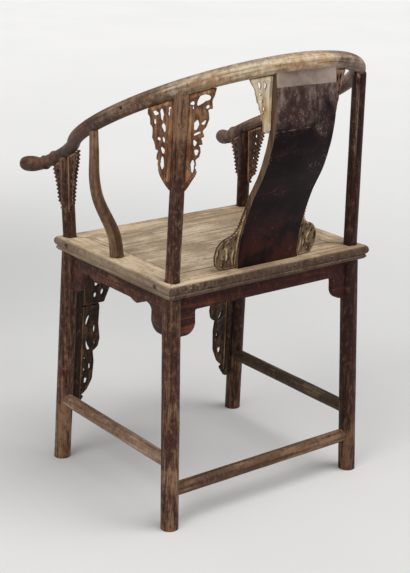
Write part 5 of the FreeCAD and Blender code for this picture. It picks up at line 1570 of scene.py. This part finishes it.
frontBrackets = {
    # width, bearing and, for each hole, its share of the way down and its half width and height in millimetres
    "arm": (0.062, 82.0, ((0.15, 3.4, 4.6), (0.29, 3.0, 3.6), (0.42, 2.6, 4.4), (0.55, 2.6, 3.4), (0.68, 2.0, 3.8),
                          (0.79, 1.7, 3.0))),
    "grip": (0.050, -88.0, ((0.17, 2.8, 3.6), (0.34, 2.4, 3.2), (0.50, 2.2, 3.4), (0.66, 1.8, 2.8), (0.79, 1.5, 2.4))),
}
frontBracketLook = {
    "foot": 0.572,
    "footRise": 0.001,
    "level": 0.630,
    "innerTop": 0.016,  # where the rail's level is taken beside the post
    "outerTop": 0.94,  # and at the outer edge, as a share of the width
    "topStart": 0.0140,
    "beadRoom": 0.0062,  # what the beads and the rim take of the width
    "narrowest": 0.0165,
    "margin": 0.0030,
    "stem": 0.0020,
    "bead": 0.0030,
    "beadStep": 0.0084,
    "beadOut": 0.0030,
    "thickness": 0.0086,
}
bracketEdge = ((1.0, 0.0), (1.0, 0.06), (0.93, 0.20), (0.80, 0.36), (0.72, 0.53), (0.65, 0.70), (0.62, 0.83),
               (0.36, 0.93), (0.24, 1.0))


def buildFrontBracket(side):
    width, bearing, holeTable = frontBrackets[side]
    look = frontBracketLook
    foot = look["foot"] + look["footRise"]
    direction, origin, lean, placer = bracketPlane("front", math.radians(bearing), look["level"])
    outerTop = railUnder(direction, origin, width * look["outerTop"])
    innerTop = railUnder(direction, origin, look["innerTop"])
    inner, outer = [], []
    for index in range(13):
        down = index / 12
        low = innerTop + (foot - innerTop) * down
        high = outerTop + (foot - outerTop) * down
        inner.append(Vector((lean(low) + plateEdge["postSide"], low, 0.0)))
        across = max(width * edgeAt(bracketEdge, down) - look["beadRoom"], lean(high) + look["narrowest"])
        outer.append(Vector((across, high, 0.0)))
    top = underRail(direction, origin, look["topStart"], outer[0].x, range(1, 7), 7)
    outline = rounded([(place, False) for place in list(reversed(inner)) + top + outer], 1)
    innerSide, outerSide = walk(inner, 100), walk(outer, 100)
    holes = []
    for number, (down, halfWide, halfHigh) in enumerate(holeTable):
        row = round(down * 100)
        centre = innerSide[row].lerp(outerSide[row], 0.56 + 0.05 * (number % 2))
        ring = []
        for step in range(12):
            angle = math.radians(step * 30)
            swell = 1 + 0.22 * math.sin(angle * 2 + number * 2.1)
            ring.append(centre + Vector((math.cos(angle) * halfWide * swell, math.sin(angle) * halfHigh, 0)) / 1000)
        holes.append(ring)
    half = look["margin"]
    margins = [[(place + Vector((half * 0.8, 0, 0)), half) for place in inner],
               [(place + Vector((0, -half, 0)), half) for place in top],
               [(place, look["stem"]) for place in outer]]
    stems = scrollChain([place + Vector((half * 1.4, 0, 0)) for place in inner[1:-1]],
                        [place + Vector((-0.001, 0, 0)) for place in outer[1:-1]], look["stem"], 0.75)
    rim = [place + Vector((look["beadOut"], 0, 0)) for place in outer]
    beads = [(walk(rim, 60), look["bead"], look["beadStep"])]
    left = carved(f"frontBracket{side.capitalize()}SideCarvedLeft", outline, holes, margins, stems, beads, placer,
                  look["thickness"])
    handPair(left, "darkAndShadedCarving", "darkAndShadedCarving", f"front_bracket_{side}_side")


buildFrontBracket("arm")
buildFrontBracket("grip")
print("front brackets carved")


# Pale wings beside the splat's top: millimetres from the splat's edge and shares of the height, from the top

wing = {
    "clearance": 0.0003,
    "topStart": 0.0008,
    "topMiddle": 0.020,
    "foot": 0.8005,
    "depth": 0.280,
    "yaw": 18.0,
    "thickness": 0.0084,
    "edge": ((46.5, 0.03), (43.0, 0.10), (34.0, 0.22), (33.6, 0.29, 1), (31.0, 0.36), (29.6, 0.44, 1), (25.0, 0.49),
             (25.0, 0.56, 1), (21.0, 0.62), (20.0, 0.69), (17.6, 0.77, 1), (15.0, 0.86), (15.4, 0.96), (9.0, 0.995),
             (1.0, 0.995)),
    "holes": (
        ((31.5, 0.085), (28.8, 0.12), (27.8, 0.19), (24.0, 0.205, 1), (22.6, 0.14), (26.0, 0.085)),
        ((18.8, 0.075), (14.0, 0.095), (11.6, 0.16), (15.0, 0.215, 1), (18.2, 0.18), (15.6, 0.14)),
        ((27.4, 0.285), (24.0, 0.265), (21.0, 0.31), (24.6, 0.335)),
        ((25.2, 0.42), (21.0, 0.395), (18.0, 0.44), (22.0, 0.455)),
        ((16.8, 0.51, 1), (18.0, 0.56), (15.0, 0.61, 1), (12.6, 0.56)),
        ((20.4, 0.62, 1), (18.6, 0.60), (16.0, 0.64), (18.0, 0.665)),
        ((20.0, 0.725), (18.2, 0.705), (16.6, 0.73), (18.4, 0.75)),
    ),
}


def buildWing():
    origin = Vector((splat["topHalfWidth"] + wing["clearance"], wing["depth"], 0.0))
    direction, placer = uprightPlate(origin, math.radians(-wing["yaw"]))
    high = railUnder(direction, origin, wing["topMiddle"])

    def spot(across, down):
        return Vector((across / 1000, high + (wing["foot"] - high) * down, 0.0))

    edge = placed(wing["edge"], spot)
    top = [(place, True) for place in underRail(direction, origin, wing["topStart"], edge[0][0].x, range(8), 8)]
    outline = rounded(top + edge)
    holes = openings(wing["holes"], spot)
    margins = [[(Vector((0.0045, level, 0.0)), 0.0040) for level in (high - 0.003, wing["foot"] + 0.006)],
               [(place + Vector((0, -0.0035, 0)), 0.0036) for place, sharp in top]]
    stems = [leafyRim(edge[:-1], 0.0013, 0.0010)]
    left = carved("splatWingCarvedLeft", outline, holes, margins, stems, [], placer, wing["thickness"], 0.82)
    # the right-hand wing takes the darker finish as painted shade
    handPair(left, "paleCarving", "darkAndShadedCarving", "splat_wing")


# Rounded feet beside the splat's foot: shares of the width and height, with a beaded tail up the splat's edge

footBracket = {
    "width": 0.056,
    "height": 0.068,
    "thickness": 0.0078,
    "rim": ((-0.02, 0.010), (0.35, 0.012), (0.70, 0.03), (0.90, 0.18), (0.965, 0.45), (0.91, 0.70), (0.76, 0.88),
            (0.56, 0.97), (0.38, 1.0), (0.24, 1.08), (0.12, 1.25), (0.08, 1.5), (0.05, 1.75), (0.02, 1.92)),
    "holes": (
        ((0.84, 0.74, 1), (0.885, 0.52), (0.82, 0.30, 1), (0.78, 0.50)),
        ((0.36, 0.52, 1), (0.46, 0.40), (0.42, 0.18, 1), (0.31, 0.30)),
        ((0.42, 0.84, 1), (0.47, 0.79), (0.41, 0.73), (0.36, 0.78)),
        ((0.67, 0.80, 1), (0.73, 0.74), (0.66, 0.66, 1), (0.61, 0.73)),
        ((0.28, 0.72), (0.31, 0.65), (0.26, 0.58, 1), (0.22, 0.66)),
        ((0.60, 0.20, 1), (0.70, 0.16), (0.60, 0.12), (0.52, 0.15)),
        ((0.14, 1.02, 1), (0.19, 0.95), (0.13, 0.86, 1), (0.10, 0.94)),
    ),
}


def buildFootBracket():
    width, height = footBracket["width"], footBracket["height"]

    def spot(across, up):
        return Vector((width * across, height * up, 0.0))

    rim = [spot(*point) for point in footBracket["rim"]]
    edge = [(place - Vector((0.0016, 0, 0)), False) for place in rim]
    inside = [(spot(-0.02, up), True) for up in (1.92, 1.4, 0.9, 0.4, 0.01)]
    outline = rounded(edge + inside)
    holes = openings(footBracket["holes"], spot)
    margins = [[(place + Vector((-0.0016, 0.0012 if place.y < 0.004 else 0.0, 0)), 0.0020) for place in walk(rim, 44)],
               [(spot(0.03, up), 0.0028) for up in (0.06, 0.4, 0.8, 1.2, 1.6, 1.86)]]
    stems = [curl(spot(0.60, 0.47), 0.0100, 0.0140, Vector((1, 0, 0)), Vector((0, 1, 0)), 90, 400, 0.0024),
             [(spot(0.50, 0.86), 0.0040), (spot(0.508, 0.865), 0.0040)],
             [(spot(0.14, 0.12), 0.0022), (spot(0.20, 0.34), 0.0026), (spot(0.16, 0.56), 0.0022)],
             [(spot(0.46, 0.60), 0.0020), (spot(0.54, 0.68), 0.0024), (spot(0.60, 0.90), 0.0018)]]
    beads = [(rim[8:], 0.0028, 0.0066)]

    def placer(point):
        level = splat["low"] + point.y
        return Vector((splatHalfWidth(level) + point.x, splatBack(level) - splat["thickness"] / 2 + point.z, level))

    left = carved("splatFootBracketCarvedLeft", outline, holes, margins, stems, beads, placer, footBracket["thickness"])
    handPair(left, "footCarving", "footCarving", "splat_foot_bracket")


buildWing()
buildFootBracket()
print("splat wings and feet carved")


# Carved frame inside the front legs

frontFrame = {
    "lean": math.atan(legs["splayDepth"] / legs["seatTop"]),
    "depth": legs["setback"] + legs["depths"]["front"],
    "battenWidth": 0.015,
    "clearance": 0.0003,
    "thickness": 0.0106,
    "under": 0.0315,  # from the seat's top down to the top panel
    "topDrop": 0.165,
    "band": 0.062,
    "legWidth": 0.055,
    "archWidth": 0.080,
    "sideWidth": 0.050,
    "sideFoot": 0.416,
    "margin": 0.0030,
    "stem": 0.0026,
    "rim": 0.0024,
}
sideEdge = ((0.92, 0.00), (0.90, 0.19), (1.00, 0.33), (0.92, 0.41), (0.66, 0.43), (0.74, 0.54), (0.70, 0.74),
            (0.45, 0.86), (0.14, 0.92), (0.30, 0.935), (0.10, 1.0))
archEdge = ((0.0, 1.0), (0.18, 0.55), (0.55, 0.18), (0.78, 0.05), (1.0, 0.0))
# shares of the side panel's width, from its leg, and of its height, from the top
sideHoles = (
    ((0.46, 0.080), (0.28, 0.105), (0.20, 0.155), (0.28, 0.212, 1), (0.34, 0.165), (0.42, 0.125)),
    ((0.64, 0.185, 1), (0.76, 0.215), (0.73, 0.295, 1), (0.62, 0.245)),
    ((0.26, 0.315, 1), (0.28, 0.385), (0.40, 0.430), (0.56, 0.425, 1), (0.42, 0.390), (0.36, 0.350)),
    ((0.74, 0.345, 1), (0.80, 0.365), (0.76, 0.395), (0.68, 0.370)),
    ((0.26, 0.480), (0.33, 0.500), (0.26, 0.520), (0.19, 0.500)),
    ((0.46, 0.545, 1), (0.60, 0.575), (0.58, 0.625), (0.48, 0.610)),
    ((0.24, 0.575, 1), (0.32, 0.605), (0.26, 0.650, 1), (0.19, 0.610)),
    ((0.28, 0.705, 1), (0.48, 0.730, 1), (0.40, 0.790), (0.26, 0.775)),
    ((0.11, 0.690, 1), (0.18, 0.730), (0.13, 0.775, 1), (0.095, 0.735)),
    ((0.12, 0.800, 1), (0.21, 0.835), (0.14, 0.875, 1), (0.10, 0.840)),
)
# millimetres from the middle of the top panel and below the seat's top, on one side
topHoles = (
    ((16, 46, 1), (24, 52), (20, 62, 1), (13, 56)),
    ((22, 70), (32, 66), (36, 74), (26, 80, 1)),
    ((40, 44), (52, 46), (50, 54, 1), (38, 54)),
    ((48, 62, 1), (58, 66), (54, 78), (45, 72)),
    ((66, 46, 1), (78, 50), (74, 60), (64, 56)),
    ((72, 70), (84, 68), (88, 80, 1), (76, 82)),
    ((94, 46), (106, 48), (102, 60, 1), (92, 56)),
    ((104, 74, 1), (114, 76), (116, 90), (106, 88)),
    ((122, 48, 1), (136, 50), (132, 62), (120, 60)),
    ((130, 74), (142, 72), (140, 86, 1), (128, 86)),
    ((152, 46), (166, 50), (164, 62, 1), (150, 58)),
    ((160, 74, 1), (170, 80), (166, 96), (156, 90)),
    ((138, 100), (148, 104), (150, 120, 1), (140, 114)),
    ((162, 110), (172, 112), (170, 126, 1), (160, 124)),
    ((148, 132, 1), (156, 136), (154, 150), (146, 144)),
    ((166, 138), (174, 140), (172, 152, 1), (164, 150)),
)


def frontPlacer(point):
    lean = frontFrame["lean"]
    return Vector((point.x, frontFrame["depth"] + point.y * math.sin(lean) + point.z * math.cos(lean),
                   legs["seatTop"] + point.y * math.cos(lean) - point.z * math.sin(lean)))


def frontEdgeX(drop, inward):
    leg = legs["seatReach"] + legs["splaySide"] * drop / legs["seatTop"]
    return leg - legs["legHalf"] - frontFrame["battenWidth"] - frontFrame["clearance"] - inward


def buildSidePanel():
    top = frontFrame["topDrop"] + frontFrame["clearance"]
    height = frontFrame["sideFoot"] - top

    def spot(across, down, inset=0.0):
        drop = top + height * down
        return Vector((frontEdgeX(drop, frontFrame["sideWidth"] * across - inset), -drop, 0.0))

    outer = [spot(0.0, 0.002 + 0.996 * index / 24, -0.0002) for index in range(25)]
    inner = [spot(edgeAt(sideEdge, index / 48), 0.002 + 0.996 * index / 48, 0.0022) for index in range(49)]
    outline = rounded([(place, False) for place in outer + list(reversed(inner))], 1)
    holes = openings(sideHoles, spot)
    half, stem = frontFrame["margin"], frontFrame["stem"]
    margins = [[(place + Vector((-half, 0, 0)), half) for place in outer[:-1]],
               [(place, frontFrame["rim"]) for place in inner[1:]],
               [(corner + Vector((0, -stem, 0)), stem) for corner in (inner[0], outer[0])]]
    drops = [-0.003] + [0.0] * 21
    stems = scrollChain([place + Vector((-0.006, drop, 0)) for place, drop in zip(outer, drops)],
                        [place + Vector((0.003, drop, 0)) for place, drop in zip(inner[::2], drops)], stem, 0.85)
    left = carved("frontSidePanelCarvedLeft", outline, holes, margins, stems, [], frontPlacer, frontFrame["thickness"])
    right = mirrorPiece(left, "frontSidePanelCarvedRight")
    liftFoot(left)
    handOver(left, "frontCarving", "front_side_panel_left")
    handOver(right, "frontCarving", "front_side_panel_right")


def buildTopPanel():
    under, margin = frontFrame["under"], frontFrame["margin"]
    low = frontFrame["topDrop"]
    band = under + frontFrame["band"]
    archHalf = []
    for across, down in archEdge:
        x = frontEdgeX(low, frontFrame["legWidth"] + frontFrame["archWidth"] * across)
        archHalf.append(Vector((x, -(band + (low - band) * down) + 0.0022, 0.0)))
    arch = walk(archHalf + [Vector((-place.x, place.y, 0.0)) for place in reversed(archHalf)], 60)
    sides = [Vector((frontEdgeX(drop, 0.0002), -drop, 0.0)) for drop in (low - 0.0004, 0.12, 0.08, under + 0.0002)]
    outline = [(Vector((-place.x, place.y, 0.0)), True) for place in reversed(sides)]
    outline += [(place, False) for place in reversed(arch)] + [(place, True) for place in sides]
    outline = rounded(outline, 1)
    holes = []
    for hole in topHoles:
        for side in (1, -1):
            holes += openings([hole], lambda across, down: Vector((side * across / 1000, -down / 1000, 0.0)))
    top = [Vector((frontEdgeX(under, 0.003) * (1 - index / 12), -under - 0.0032, 0.0)) for index in range(25)]
    margins = [[(place, margin) for place in top], [(place, frontFrame["rim"]) for place in arch]]
    stems = []
    for side in (1, -1):
        margins.append([(Vector((side * frontEdgeX(drop, margin), -drop, 0.0)), margin)
                        for drop in (under + 0.004, 0.08, 0.12, low - margin)])
        margins.append([(Vector((side * frontEdgeX(low, inward), -low + margin, 0.0)), 0.0028)
                        for inward in (margin, 0.03, frontFrame["legWidth"])])
        upper = [Vector((side * x, -under - 0.007, 0.0)) for x in (0.010, 0.04, 0.08, 0.12)]
        lower = [Vector((side * x, -band + 0.005, 0.0)) for x in (0.010, 0.04, 0.068, 0.088)]
        upper += [Vector((side * frontEdgeX(drop, 0.007), -drop, 0.0)) for drop in (0.050, 0.100, 0.158)]
        lower += [Vector((side * x, y, 0.0)) for x, y in ((0.112, -0.106), (0.132, -0.126), (0.142, -0.158))]
        stems += scrollChain(upper, lower, frontFrame["stem"], 0.85, side)
    stems.append(curl(Vector((0, -0.062, 0)), 0.009, 0.018, Vector((1, 0, 0)), Vector((0, 1, 0)), 90, 360, 0.003, 1.0))
    stems.append([(Vector((0, -0.040, 0)), 0.0034), (Vector((0, -0.084, 0)), 0.0034)])
    panel = carved("frontTopPanelCarved", outline, holes, margins, stems, [], frontPlacer, frontFrame["thickness"])
    handOver(panel, "frontCarving", "front_top_panel")


buildSidePanel()
buildTopPanel()
print("front frame carved")


def buildFloor():
    reach = studio["floorReach"]
    count = 24
    points = [(-reach + 2 * reach * i / count, -reach + 2 * reach * j / count, 0.0)
              for j in range(count + 1) for i in range(count + 1)]
    faces = [(j * (count + 1) + i, j * (count + 1) + i + 1, (j + 1) * (count + 1) + i + 1, (j + 1) * (count + 1) + i)
             for j in range(count) for i in range(count)]
    floor = meshPiece("studioFloor", points, faces)
    floor.data.materials.append(finishes["studioFloor"])


buildFloor()
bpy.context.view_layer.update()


total = sum(len(item.data.polygons) for item in bpy.data.objects if item.type == "MESH" and not item.hide_render)
print("faces shown:", total)
